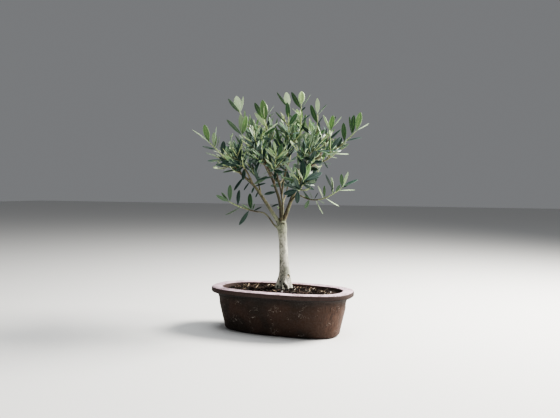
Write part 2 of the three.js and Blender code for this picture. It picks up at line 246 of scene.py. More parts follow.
def tree_to_world(points: Array) -> Array:
    """Points of the tree's frame, in millimetres, as points of the row frame, in metres."""
    turn, rise = TREE_TURN, SOIL_CROWN
    x = points[..., 0] * math.cos(turn) - points[..., 1] * math.sin(turn)
    y = points[..., 0] * math.sin(turn) + points[..., 1] * math.cos(turn)
    return np.stack([x, y, points[..., 2] + rise], -1) * MM


@dataclass(frozen=True)
class View:
    """The photograph's view: a camera in front of the tree, and a frame of 560 by 418 pixels."""

    aim: Floats = (-4.2, 0.0, 252.1)
    distance: float = 1234.0
    pitch: float = math.radians(2.0)
    roll: float = 0.0056
    focal: float = 600.0
    centre: Floats = (280.0, 209.0)

    def axes(self) -> Array:
        """The directions to the right, up and back of the view, as rows, in the tree's frame."""
        right, back = np.array([1.0, 0.0, 0.0]), np.array([0.0, -math.cos(self.pitch), math.sin(self.pitch)])
        up, c, s = np.cross(back, right), math.cos(self.roll), math.sin(self.roll)
        return np.array([c * right + s * up, c * up - s * right, back])

    def place(self) -> Array:
        """Where the camera stands, in the tree's frame."""
        across, _, height = self.aim
        aim = np.array([across * math.cos(TREE_TURN), -across * math.sin(TREE_TURN), height - SOIL_CROWN])
        return aim + self.distance * self.axes()[2]

    def seen(self, points: Array) -> Array:
        """Where points of the tree's frame show, in pixels from the left and the top."""
        right, up, back = np.moveaxis((points - self.place()) @ self.axes().T, -1, 0)
        return np.stack([self.centre[0] - self.focal * right / back, self.centre[1] + self.focal * up / back], -1)

    def put(self, x: float, y: float, depth: float) -> Array:
        """The point of the tree's frame that shows at a pixel and lies at a depth behind the trunk."""
        shift = (x - self.centre[0]) / self.focal, (self.centre[1] - y) / self.focal
        ray, start = np.array([*shift, -1.0]) @ self.axes(), self.place()
        return start + ray * (depth - start[1]) / ray[1]


def inside(points: Array, outline: Points) -> Array:
    """Which points lie inside a closed outline."""
    x, y = points[..., 0, None], points[..., 1, None]
    start = np.array(outline, float)
    end = np.roll(start, -1, axis=0)
    with np.errstate(divide="ignore", invalid="ignore"):
        crossing = start[:, 0] + (y - start[:, 1]) * (end[:, 0] - start[:, 0]) / (end[:, 1] - start[:, 1])
    return (((start[:, 1] > y) != (end[:, 1] > y)) & (x < crossing)).sum(-1) % 2 == 1


# Meshes


@dataclass
class Shell:
    """The points and faces of one piece while it is made, each face with the number of its finish."""

    points: list[Array] = field(default_factory=list)
    faces: list[list[int]] = field(default_factory=list)
    finishes: list[int] = field(default_factory=list)
    count: int = 0

    def loft(self, rings: Array, finish: int = 0) -> None:
        """Adds a closed skin over rings that have the same number of points, with a fan over each end.

        Args:
            rings: points by ring and side, counterclockwise as seen from ahead.
            finish: the number of the skin's finish.
        """
        count, sides = rings.shape[:2]
        faces = skin_faces(count, sides).tolist()
        foot, last = count * sides, (count - 1) * sides
        for side in range(sides):
            after = (side + 1) % sides
            faces.append([foot, after, side])
            faces.append([foot + 1, last + side, last + after])
        self.points += [rings.reshape(-1, 3), rings[[0, -1]].mean(1)]
        self.faces += [[corner + self.count for corner in face] for face in faces]
        self.finishes += [finish] * len(faces)
        self.count += count * sides + 2

    def mesh(self, name: str) -> Mesh:
        """A smooth mesh of the shell, whose points are in metres."""
        mesh = bpy.data.meshes.new(name)
        mesh.from_pydata(np.concatenate(self.points), [], self.faces)
        mesh.polygons.foreach_set("material_index", self.finishes)
        mesh.polygons.foreach_set("use_smooth", [True] * len(self.faces))
        mesh.update()
        return mesh


def skin_faces(rings: int, sides: int) -> Array:
    """The four-sided faces between neighbouring rings, as rows of point numbers."""
    ring, side = np.meshgrid(np.arange(rings - 1), np.arange(sides), indexing="ij")
    low, after = ring * sides + side, ring * sides + (side + 1) % sides
    return np.stack([low, after, after + sides, low + sides], -1).reshape(-1, 4)


def rings_along(line: Line, radius_at: Callable[[float], float], sides: int, count: int) -> Array:
    """Rings square to a line, evenly spaced and carried along without twist.

    Args:
        line: the middle line.
        radius_at: the radius for each share of the length.
        sides: points in a ring.
        count: number of rings.

    Returns:
        Points by ring and side.
    """
    middle = line.evenly(count)
    headings = np.gradient(middle, axis=0)
    headings /= norm(headings, axis=1, keepdims=True)
    odd_way = (0.31, 0.77, 0.55)
    normal = unit(np.cross(headings[0], odd_way))
    angles = np.linspace(0, 2 * math.pi, sides, endpoint=False)[:, None]
    rings = []
    for k, heading in enumerate(headings):
        normal = unit(normal - heading * (normal @ heading))
        side = np.cross(heading, normal)
        radius = radius_at(k / (count - 1))
        rings.append(middle[k] + radius * (np.cos(angles) * normal + np.sin(angles) * side))
    return np.array(rings)


def paint(mesh: Mesh, name: str, values: Array) -> None:
    """Holds a value at each of a mesh's points, under a name that a finish can read."""
    mesh.attributes.new(name, "FLOAT", "POINT").data.foreach_set("value", values.astype(np.float32))


def stand(name: str, data: bpy.types.ID) -> bpy.types.Object:
    """Puts a new object in the scene."""
    made = bpy.data.objects.new(name, data)
    bpy.context.scene.collection.objects.link(made)
    return made


def place_piece(
    name: str,
    mesh: Mesh,
    finishes: Sequence[Material],
    replaces: Sequence[str] = (),
    crease: float | None = None,
) -> None:
    """Puts a piece in the scene, riding on the root body.

    Args:
        name: the piece's name.
        mesh: its mesh, with its points in the row frame.
        finishes: the materials that its faces number.
        replaces: the CAD nodes that it stands for.
        crease: angle in degrees from which an edge is sharp, or None for none.
    """
    for finish in finishes:
        mesh.materials.append(finish)
    if crease is not None:
        mesh.set_sharp_from_angle(angle=math.radians(crease))
    piece = stand(name, mesh)
    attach(piece, "root")
    if replaces:
        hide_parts(*replaces)
    LOG.info("%s: %d faces", name, len(mesh.polygons))


# Finishes


class Bench:
    """One material's nodes while they are wired."""

    def __init__(self, name: str) -> None:
        """Starts a material with one surface shader.

        Args:
            name: the material's name.
        """
        self.material = bpy.data.materials.new(name)
        self.material.use_nodes = True
        self.tree = self.material.node_tree
        self.tree.nodes.clear()
        self.shader = self._node("BsdfPrincipled")
        self._node("OutputMaterial", {"Surface": self.shader.outputs[0]})
        place = self._node("TexCoord").outputs["Object"]
        self.place = self._node("VectorMath", {0: place, "Scale": 1 / MM}, operation="SCALE").outputs[0]

    def _node(
        self, kind: str, inputs: dict[int | str, Socket | float | Floats] | None = None, **settings: str
    ) -> bpy.types.Node:
        """Adds a node.

        Args:
            kind: the kind of node.
            inputs: what is linked to its inputs or set on them, by name or number.
            **settings: the node's own settings.

        Returns:
            The new node.
        """
        node = self.tree.nodes.new(f"ShaderNode{kind}")
        for name, value in settings.items():
            setattr(node, name, value)
        for key, value in (inputs or {}).items():
            if isinstance(value, Socket):
                self.tree.links.new(value, node.inputs[key])
            else:
                node.inputs[key].default_value = value
        return node

    def set(self, **values: float | Colour) -> None:
        """Sets plain values on the shader's own sockets, named with _ for a space."""
        for name, value in values.items():
            socket = self.shader.inputs[name.replace("_", " ")]
            socket.default_value = (*value, 1.0) if isinstance(value, tuple) else value

    def feed(self, name: str, source: Socket) -> None:
        """Links a source to one of the shader's sockets."""
        self.tree.links.new(source, self.shader.inputs[name])

    def stretched(self, x: float, y: float, z: float) -> Socket:
        """The place, stretched by a factor along each axis."""
        return self._node("VectorMath", {0: self.place, 1: (x, y, z)}, operation="MULTIPLY").outputs[0]

    def waves(self, scale: float, detail: float = 3.0, warp: float = 0.0, place: Socket | None = None) -> Socket:
        """Noise from 0 to 1.

        Args:
            scale: waves per millimetre.
            detail: how many finer layers it has.
            warp: how much it is twisted.
            place: where it is read, or None for the place itself.

        Returns:
            The noise's output.
        """
        inputs = {"Scale": scale, "Detail": detail, "Distortion": warp, "Vector": place or self.place}
        return self._node("TexNoise", inputs).outputs["Fac"]

    def painted(self, name: str) -> Socket:
        """A value that the mesh holds at its points."""
        return self._node("Attribute", attribute_name=name).outputs["Fac"]

    def height(self) -> Socket:
        """The height over the floor, in millimetres."""
        return self._node("SeparateXYZ", {0: self.place}).outputs["Z"]

    def across(self) -> Socket:
        """The place along the pot's long side, in millimetres to the right of its middle."""
        return self._node("SeparateXYZ", {0: self.place}).outputs["X"]

    def facing_up(self) -> Socket:
        """1 where the surface faces up, 0 where it is upright and less than 0 under it."""
        normal = self._node("NewGeometry").outputs["Normal"]
        return self._node("SeparateXYZ", {0: normal}).outputs["Z"]

    def spread(self, source: Socket, low: float, high: float, start: float = 0.0, end: float = 1.0) -> Socket:
        """Spreads low to high smoothly over start to end, and holds them beyond."""
        inputs = dict(enumerate((source, low, high, start, end)))
        return self._node("MapRange", inputs, interpolation_type="SMOOTHSTEP").outputs[0]

    def combine(self, how: str, *sources: Socket | float) -> Socket:
        """Works out one value from others by a named operation, such as ADD or MAXIMUM."""
        return self._node("Math", dict(enumerate(sources)), operation=how).outputs[0]

    def times(self, *sources: Socket | float) -> Socket:
        """The product of two values."""
        return self.combine("MULTIPLY", *sources)

    def blend(self, share: Socket, low: Socket | Colour, high: Socket | Colour) -> Socket:
        """A colour between two others, from 0 for the low one to 1 for the high one."""
        ends = [(*colour, 1.0) if isinstance(colour, tuple) else colour for colour in (low, high)]
        return self._node("Mix", {"Factor": share, 6: ends[0], 7: ends[1]}, data_type="RGBA").outputs[2]

    def relief(self, source: Socket, depth: float, strength: float = 1.0) -> None:
        """Gives the shader a fine relief from a height source.

        Args:
            source: the height, from 0 to 1.
            depth: the height of 1, in millimetres.
            strength: how much of it shows.
        """
        bump = self._node("Bump", {"Strength": strength, "Distance": depth * MM, "Height": source})
        self.feed("Normal", bump.outputs[0])


@dataclass(frozen=True)
class Stoneware:
    """Unglazed stoneware with a dusted lip and a painted sky sheen on its top, hairline lime marks, rain streaks and
    painted light at the right end.
    """

    name: str = "unglazed_stoneware"
    dark: Colour = (0.0120, 0.0068, 0.0038)
    warm: Colour = (0.031, 0.0148, 0.0088)
    wall: Colour = (0.068, 0.035, 0.028)
    marks_and_painted_shading: Colour = (0.125, 0.069, 0.050)
    lip: Colour = (0.036, 0.021, 0.018)
    dust_and_sky_sheen: Colour = (0.60, 0.450, 0.515)
    mark: Colour = (0.32, 0.280, 0.25)
    shadow: Colour = (0.006, 0.004, 0.0035)
    lip_height: float = 79.0

    def make(self) -> Material:
        """Wires the material."""
        bench = Bench(self.name)
        waves, spread, times, blend = bench.waves, bench.spread, bench.times, bench.blend
        bench.set(Roughness=0.78, Specular_IOR_Level=0.35)
        patches = spread(waves(0.018, 4.0, 0.6), 0.36, 0.66)
        body = blend(patches, self.dark, self.warm)
        speckles = spread(waves(0.75, 2.0), 0.60, 0.72)
        body = blend(times(speckles, 0.16), body, self.marks_and_painted_shading)
        # Rain streaks towards the right end, where the body is also lightened as painted light.
        streak = spread(waves(0.45, 4.0, 0.2, bench.stretched(1.0, 1.0, 0.08)), 0.30, 0.75, 0.25, 0.85)
        lit_streaky_end = times(spread(bench.across(), 78.0, 132.0), streak)
        body = blend(lit_streaky_end, body, self.marks_and_painted_shading)
        line = bench.combine("ABSOLUTE", bench.combine("SUBTRACT", waves(0.085, 1.5, 1.2), 0.5))
        hair = spread(line, 0.003, 0.010, 1.0, 0.0)
        place = spread(waves(0.055, 2.0, 0.4), 0.56, 0.63)
        marks = times(hair, place)
        body = blend(times(marks, 0.75), body, self.mark)
        under_lip = spread(bench.height(), self.lip_height - 20.0, self.lip_height - 2.0)
        body = blend(times(under_lip, 0.8), body, self.shadow)
        top_dust_and_sheen = blend(spread(waves(0.35, 4.0), 0.3, 0.7), self.lip, self.dust_and_sky_sheen)
        top_dust_and_sheen = blend(spread(waves(0.05, 2.0), 0.35, 0.65), self.dust_and_sky_sheen, top_dust_and_sheen)
        # Painted sky sheen: the lip's upward faces take the pale dusted colour.
        lip = blend(spread(bench.facing_up(), 0.55, 0.95), self.lip, top_dust_and_sheen)
        lip = blend(spread(bench.facing_up(), -0.05, -0.6), lip, self.shadow)
        lip = blend(bench.painted("inside"), lip, self.wall)
        on_lip = spread(bench.height(), self.lip_height - 0.6, self.lip_height + 0.6)
        bench.feed("Base Color", blend(on_lip, body, lip))
        fine = bench.combine("ADD", waves(0.9, 4.0), times(marks, 0.3))
        bench.relief(fine, 0.35, 0.6)
        bench.feed("Roughness", spread(waves(0.3, 3.0), 0.3, 0.7, 0.66, 0.9))
        return bench.material


@dataclass(frozen=True)
class Earth:
    """Damp potting soil."""

    name: str = "damp_soil"
    dark: Colour = (0.0035, 0.0025, 0.002)
    light: Colour = (0.010, 0.0062, 0.0042)

    def make(self) -> Material:
        """Wires the material."""
        bench = Bench(self.name)
        bench.set(Roughness=0.92, Specular_IOR_Level=0.3)
        crumbs = bench.spread(bench.waves(0.35, 5.0), 0.38, 0.68)
        bench.feed("Base Color", bench.blend(crumbs, self.dark, self.light))
        bench.relief(bench.waves(0.6, 5.0), 1.6)
        return bench.material


@dataclass(frozen=True)
class OliveBark:
    """Smooth pale bark of a young olive: dark pits and freckles, browner and greener on the boughs, with painted shade
    on the left sides, the middle bough and the hollows.
    """

    name: str = "olive_bark"
    pale: Colour = (0.62, 0.605, 0.520)
    shade: Colour = (0.20, 0.210, 0.165)
    green: Colour = (0.125, 0.135, 0.075)
    brown: Colour = (0.120, 0.092, 0.055)
    lichen: Colour = (0.20, 0.220, 0.145)
    dark: Colour = (0.022, 0.017, 0.010)
    pit_and_hollow_shade: Colour = (0.018, 0.016, 0.010)
    wood: Colour = (0.50, 0.43, 0.30)

    def make(self) -> Material:
        """Wires the material."""
        bench = Bench(self.name)
        waves, spread, times, blend = bench.waves, bench.spread, bench.times, bench.blend
        bench.set(Roughness=0.8, Specular_IOR_Level=0.3)
        clouds = spread(waves(0.10, 4.0, 0.5, bench.stretched(1.0, 1.0, 0.45)), 0.35, 0.68)
        trunk = blend(clouds, self.pale, self.shade)
        high = times(spread(bench.height(), 178.0, 222.0), 0.9)
        trunk = blend(high, trunk, self.lichen)
        # Painted shade: the trunk's side away from the key lamp and its freckled band are greyed.
        marks_and_painted_shading = bench.combine("MAXIMUM", bench.painted("lee"), bench.painted("band"))
        trunk = blend(times(marks_and_painted_shading, 0.4), trunk, self.shade)
        freckle = waves(0.36, 4.0, 0.5, bench.stretched(1.0, 1.0, 0.7))
        freckle = bench.combine("ADD", freckle, times(bench.painted("band"), 0.11))
        freckles = spread(freckle, 0.56, 0.68)
        trunk = blend(times(freckles, 0.5), trunk, self.pit_and_hollow_shade)
        mottle = spread(waves(0.16, 4.0, 0.5), 0.40, 0.60)
        bough = blend(mottle, self.brown, self.green)
        bloom = spread(waves(0.11, 3.0, 0.8), 0.56, 0.68)
        bough = blend(times(bloom, 0.55), bough, self.lichen)
        cracks = spread(waves(0.30, 4.0, 0.6, bench.stretched(1.0, 1.0, 0.35)), 0.50, 0.62)
        bough = blend(times(cracks, 0.7), bough, self.dark)
        # Painted shade on the boughs' sides away from the key lamp.
        bough = blend(times(bench.painted("lee"), 0.75), bough, self.dark)
        bark = blend(bench.painted("bough"), trunk, bough)
        # Painted shade: the middle bough, marked with 2, is darkened.
        bark = blend(spread(bench.painted("bough"), 1.0, 2.0, 0.0, 0.65), bark, self.dark)
        bark = blend(bench.painted("cut"), bark, self.wood)
        # Knots and holes are painted dark, and the hollows get painted shade.
        bark = blend(bench.painted("pit_and_hollow_shade"), bark, self.pit_and_hollow_shade)
        bench.feed("Base Color", bark)
        fissures = waves(0.5, 4.0, 0.4, bench.stretched(1.0, 1.0, 0.3))
        bench.relief(fissures, 0.5, 0.7)
        bench.feed("Roughness", spread(waves(0.4, 3.0), 0.3, 0.7, 0.68, 0.9))
        return bench.material


@dataclass(frozen=True)
class Plain:
    """A colour for many small things, with a fine relief."""

    name: str
    colour: Colour
    roughness: float = 0.6
    shine: float = 0.4
    sheen: float = 0.0
    relief_scale: float = 1.2
    relief_depth: float = 0.12

    def make(self) -> Material:
        """Wires the material."""
        bench = Bench(self.name)
        bench.set(Base_Color=self.colour, Roughness=self.roughness, Specular_IOR_Level=self.shine)
        bench.set(Sheen_Weight=self.sheen, Sheen_Roughness=0.4)
        bench.relief(bench.waves(self.relief_scale, 3.0), self.relief_depth, 0.5)
        return bench.material


@dataclass(frozen=True)
class LeafFinish:
    """The looks of one age of leaf, each by colour, roughness and shine, and half its width by its length."""

    age: str
    half_width: float
    upper: tuple[Colour, float, float]
    rib: tuple[Colour, float, float]
    under: tuple[Colour, float, float]

    def make(self) -> list[Material]:
        """Wires its glossy upper side, its rib and its silvery underside."""
        looks = (("leaf", *self.upper), ("rib", *self.rib), ("underside", *self.under, 0.1))
        return [Plain(f"{self.age}_{part}", *look).make() for part, *look in looks]


class Tint(Enum):
    """The ages of leaf, from the tip of a shoot to its foot."""

    YOUNG = LeafFinish(
        "young", 0.125,
        ((0.335, 0.475, 0.205), 0.38, 0.55), ((0.480, 0.600, 0.260), 0.55, 0.35), ((0.570, 0.690, 0.450), 0.60, 0.3),
    )
    FRESH = LeafFinish(
        "fresh", 0.112,
        ((0.118, 0.222, 0.076), 0.38, 0.55), ((0.250, 0.360, 0.120), 0.55, 0.35), ((0.320, 0.420, 0.250), 0.64, 0.3),
    )
    FULL = LeafFinish(
        "full", 0.096,
        ((0.025, 0.076, 0.026), 0.34, 0.6), ((0.130, 0.210, 0.075), 0.55, 0.35), ((0.145, 0.210, 0.130), 0.66, 0.3),
    )
    OLD = LeafFinish(
        "old", 0.106,
        ((0.008, 0.032, 0.024), 0.44, 0.5), ((0.060, 0.120, 0.060), 0.5, 0.4), ((0.068, 0.112, 0.088), 0.66, 0.3),
    )


YOUNG, FRESH, FULL, OLD = Tint

# A stem's looks, from its foot to its tip
STEM = (
    Plain("woody_shoot", (0.075, 0.062, 0.038), 0.8, 0.3),
    Plain("ripening_shoot", (0.190, 0.200, 0.105), 0.65, 0.3),
    Plain("green_shoot", (0.310, 0.380, 0.170), 0.55, 0.4),
)

# The leaves that stand free in the photograph, by the limb that carries them: the pixels of foot and tip, how much
# of the upper side shows, down to -1 where the underside does, and the age.
SPRAYS = {
    "left_bough": (
        (209.5, 145, 192.8, 129, -0.12, FRESH), (209.1, 141.5, 204.2, 124.5, 1, FRESH),
        (214.6, 149, 213.6, 132.3, -0.8, FRESH), (215.5, 147, 216.1, 126.2, 0.2, FULL),
        (216.5, 149, 220.2, 136, -0.3, FULL), (214.4, 151.5, 202, 146.4, 0.35, OLD),
        (218, 155.6, 205.1, 152.3, -0.2, FULL), (222.6, 154.7, 223.8, 140.9, 1, OLD),
        (223.4, 161.3, 210, 162.5, 0.25, FULL), (228.7, 165.8, 215.7, 164.1, 0.5, OLD),
        (236, 170.5, 222.7, 172.9, 0.4, FULL),
        (243.3, 177.1, 233.6, 190.5, 0.5, OLD), (248.5, 183.5, 243.4, 190.2, 0.4, OLD),
        (253.2, 187, 251.6, 193.1, 0.7, OLD), (257, 192.5, 255.3, 197.6, 0.7, OLD),
        (259, 183, 267.9, 182.4, 0.5, OLD), (256, 181, 267.9, 176.1, -0.6, FULL),
    ),
    "middle_bough": (
        (238.8, 114.2, 227.3, 99.1, 0.6, FULL), (239.6, 112.5, 236.3, 96, -1, YOUNG),
        (241.2, 112.5, 243.2, 96.2, -0.5, YOUNG), (243.2, 121.5, 244.9, 110.1, -0.6, FRESH),
        (244.9, 131.7, 246.9, 115.8, 0.9, FRESH), (249.3, 127.5, 250.2, 114.2, -0.4, FRESH),
        (242, 131.7, 226.9, 119.1, 0.6, FULL), (277, 191.5, 264.2, 194.3, 0.6, OLD),
        (279.5, 203.5, 271.2, 206.5, 0.5, OLD), (279.9, 211.5, 277.2, 206.1, 0.8, FRESH),
        (243, 132, 240.6, 113.8, -0.8, FRESH), (252.5, 140, 244.5, 128, 0.4, FULL),
    ),
    "back_bough": (
        (262.8, 120.5, 254.2, 102.7, 0.8, FULL), (266, 122, 262.4, 99.9, 1, FRESH),
        (266.6, 120, 265.6, 103.5, 0.8, YOUNG), (265.3, 127.5, 254.6, 112.5, -0.5, YOUNG),
        (268.5, 118.5, 274.2, 104.8, 0.15, FULL), (270.2, 119.5, 275.5, 111.3, 0.12, FULL),
        (269.8, 125.8, 270.9, 119.5, 0.9, OLD), (272.2, 128, 277.5, 117.8, -0.5, FULL),
        (264, 133.3, 254.2, 124.4, -0.4, YOUNG),
    ),
    "top_left_branch": (
        (286.5, 108.5, 276.3, 92.3, 0.35, FULL), (287.5, 107.5, 286.3, 92.1, -1, YOUNG),
        (288.1, 119.5, 287.3, 102, 1, FULL), (288.2, 126.4, 297.3, 112.9, 1, FULL),
        (286.5, 124, 275.5, 111.3, 0.2, FULL), (287, 122, 281.5, 112.5, -0.25, YOUNG),
    ),
    "top_right_branch": (
        (300.6, 109, 291.2, 92.1, 0.6, FULL), (301.4, 106, 301.8, 91, 1, YOUNG),
        (302.8, 107.5, 311.2, 94.6, -0.2, FULL), (302.4, 111.5, 305.5, 106.8, 0.8, OLD),
        (299, 117.5, 292.4, 108, 0.2, YOUNG), (303.6, 122.8, 310.8, 113.8, 0.35, OLD),
        (303, 124.6, 311, 134, 0.6, OLD), (302.4, 130, 294.8, 122.4, 0.3, FULL),
    ),
    "right_crown_branch": (
        (314.9, 123.6, 310.4, 104.8, 0.75, FULL), (317, 114.8, 317.3, 97.8, -0.75, YOUNG),
        (318.5, 115.5, 326.7, 104, 0.12, FULL), (315.7, 125.2, 322.6, 116.2, 0.3, OLD),
        (314, 125.5, 323.4, 140.2, -0.12, FRESH),
    ),
    "shoulder_branch": (
        (327.6, 131, 323.2, 114.8, -0.2, YOUNG), (329.4, 132, 333.2, 115.2, 1, FRESH),
        (334.5, 124, 335.9, 115.2, 0.6, FULL), (331.8, 129.3, 341.8, 116.2, -0.2, FRESH),
        (325.9, 143, 341.4, 129.3, 0.4, OLD),
    ),
    "right_bough": (
        (344.9, 142.4, 343.5, 122.7, 0.85, FULL), (335.9, 147.2, 341.8, 137.5, 1, OLD),
        (352.8, 134.8, 353.5, 114.8, 0.7, FULL), (358.6, 128, 360.7, 112.1, 1, FRESH),
        (351.2, 134, 349.2, 116.2, 0.15, FULL), (358.8, 131, 369, 123.1, -0.12, FRESH),
        (348.3, 143.7, 362, 136.8, 0.35, OLD),
    ),
    "right_front_branch": (
        (334, 153, 348.8, 153.5, -0.12, FRESH), (328.8, 156.5, 337.3, 158.3, -0.12, FRESH),
        (318, 163.5, 331.5, 163.8, 0.3, OLD), (323.8, 161.5, 328, 168.4, 0.4, OLD),
        (331, 151.5, 341, 149.8, 0.4, OLD),
    ),
    "left_front_branch": (
        (229.5, 149, 230, 133.5, -0.2, FULL), (235.9, 157.2, 239.3, 142.1, 0.6, OLD),
        (232, 154.7, 227.5, 148.2, 0.6, FULL), (233, 155, 234.4, 149, 0.8, FULL),
    ),
    "left_inner_branch": (
        (246.3, 145.8, 234.4, 135.6, 0.3, FULL),
    ),
    "low_right_branch": (
        (322.9, 197.2, 318.2, 185.4, -0.15, YOUNG), (324.2, 197, 324.2, 185.3, -0.6, FULL),
        (333.2, 193.5, 331, 176.6, -0.12, YOUNG), (333, 194.3, 332, 187.2, 1, OLD),
        (335.6, 193, 340, 185, 1, FULL), (341.5, 187, 341.3, 173.9, 1, FULL),
        (343.6, 185.5, 347.8, 171.4, -0.45, YOUNG), (344, 187.5, 358, 178.8, 0.4, OLD),
        (342.2, 188.8, 348.2, 183.8, 0.8, OLD),
        (339.3, 191.5, 355.2, 189.4, -0.1, FRESH), (325.4, 199, 339.3, 206.1, -0.12, FRESH),
        (316, 201.5, 323.3, 214.5, -0.12, FRESH), (309.3, 199.5, 304.8, 208.8, 1, FULL),
        (314, 198.6, 318, 192.2, 0.3, OLD), (312.9, 199, 309.5, 191.4, 0.3, FULL),
        (311.5, 199, 304.2, 195.5, 0.5, FULL), (332.3, 190, 325.8, 174, 0.15, OLD),
        (310.5, 199, 302.8, 191, 0.35, OLD), (318.5, 199, 324.8, 203.6, -0.2, FULL),
    ),
    "low_left_branch": (
        (228.3, 201.8, 216.1, 195.1, 0.85, FULL), (229.1, 200.5, 221.4, 192.2, 0.7, FULL),
        (230.2, 201.6, 230.4, 184.5, 0.9, FULL), (237.3, 206.5, 238.9, 189.8, 0.7, OLD),
        (251.6, 209.2, 249.1, 193.1, 0.8, FULL), (252.8, 208.8, 254.9, 203.3, 0.6, FULL),
        (253.2, 210.5, 262.2, 206.9, 0.5, OLD), (251.6, 210, 241.4, 204.5, -0.6, FULL),
        (239.3, 210.4, 225.5, 215.9, -0.25, FULL), (248.7, 212, 239.3, 225.3, -0.7, OLD),
    ),
    "front_branch": (
        (273.8, 159, 265.4, 147.5, -0.35, YOUNG), (274.2, 156, 268.7, 147.1, -0.35, YOUNG),
        (275.6, 153.5, 274, 140.9, -0.6, YOUNG), (278, 156.5, 282.5, 143.4, 0.85, FULL),
        (277.2, 160.1, 286.2, 152.4, 0.6, FULL), (277.2, 163.4, 286.2, 156.9, 0.6, FULL),
        (278, 157.5, 288.7, 149.5, 0.4, FRESH), (272.5, 165, 265.6, 158.5, -0.3, YOUNG),
        (269.5, 176.4, 256, 180.5, 0.4, OLD), (278, 164.6, 285.4, 169.9, 0.7, OLD),
        (283.8, 165, 294.4, 160.1, -0.3, FULL),
    ),
    "front_right_branch": (
        (303.8, 178.1, 297, 169.5, -0.35, YOUNG), (298.5, 182, 289, 172.8, -0.4, FRESH),
        (305.4, 177.5, 309.9, 163.4, 0.85, FRESH), (304.6, 176.5, 302.9, 160.1, 0.8, OLD),
        (306.6, 178.9, 322.2, 172, 0.9, OLD), (304.6, 182, 319.3, 177.5, 0.5, OLD),
        (304.2, 183, 314, 184.5, 0.6, OLD), (302.6, 184, 314.2, 190.2, 0.7, OLD),
        (297.6, 186.5, 297.2, 203.7, 1, OLD), (296.5, 186.8, 283.3, 194.1, 0.9, OLD),
        (296.4, 187.5, 286.4, 197, 0.8, OLD),
        (298, 184, 281, 177.5, 0.5, FULL),
    ),
}

# The dense part of the crown, in pixels of the photograph, and the places in it where the sky shows through, each a
# middle and half its width and height. Outside it only the leaves above grow.
DENSE = (
    (208, 160), (211, 150), (219, 145), (229, 142), (232, 131), (239, 122), (246, 117), (254, 117), (260, 117),
    (268, 113), (276, 111), (284, 113), (292, 114), (297, 108), (303, 109), (308, 114), (316, 116), (323, 122),
    (333, 125), (340, 134), (351, 140), (346, 148), (337, 153), (326, 156), (322, 163), (322, 170), (317, 177),
    (316, 190), (306, 196), (299, 196), (296, 190), (290, 187), (282, 191), (276, 188), (266, 184), (258, 183),
    (250, 184), (244, 180), (236, 175), (226, 171), (216, 169), (208, 167),
)
SKY = (
    (290, 162, 3.0, 6.0), (294, 154, 3.5, 4.0), (300, 145, 3.0, 2.5), (308, 124, 2.5, 6.0), (322, 125, 2.0, 4.0),
    (261, 172, 4.5, 2.5),
)


# The growing rule, as the solids have it


@dataclass(frozen=True)
class Limb:
    """One bough or branch: its run from the middle line of its parent, and the mass that it carries."""

    name: str
    parent: str
    at: float
    via: Points
    tip: Floats
    root: float
    end: float
    shoot_tip: Floats
    side_shoots: int
    seed: int
    mass: str = ""

    def leaves(self) -> str:
        """The name of its mass, which for most branches follows from their own."""
        return self.mass or self.name.replace("_branch", "_leaves")


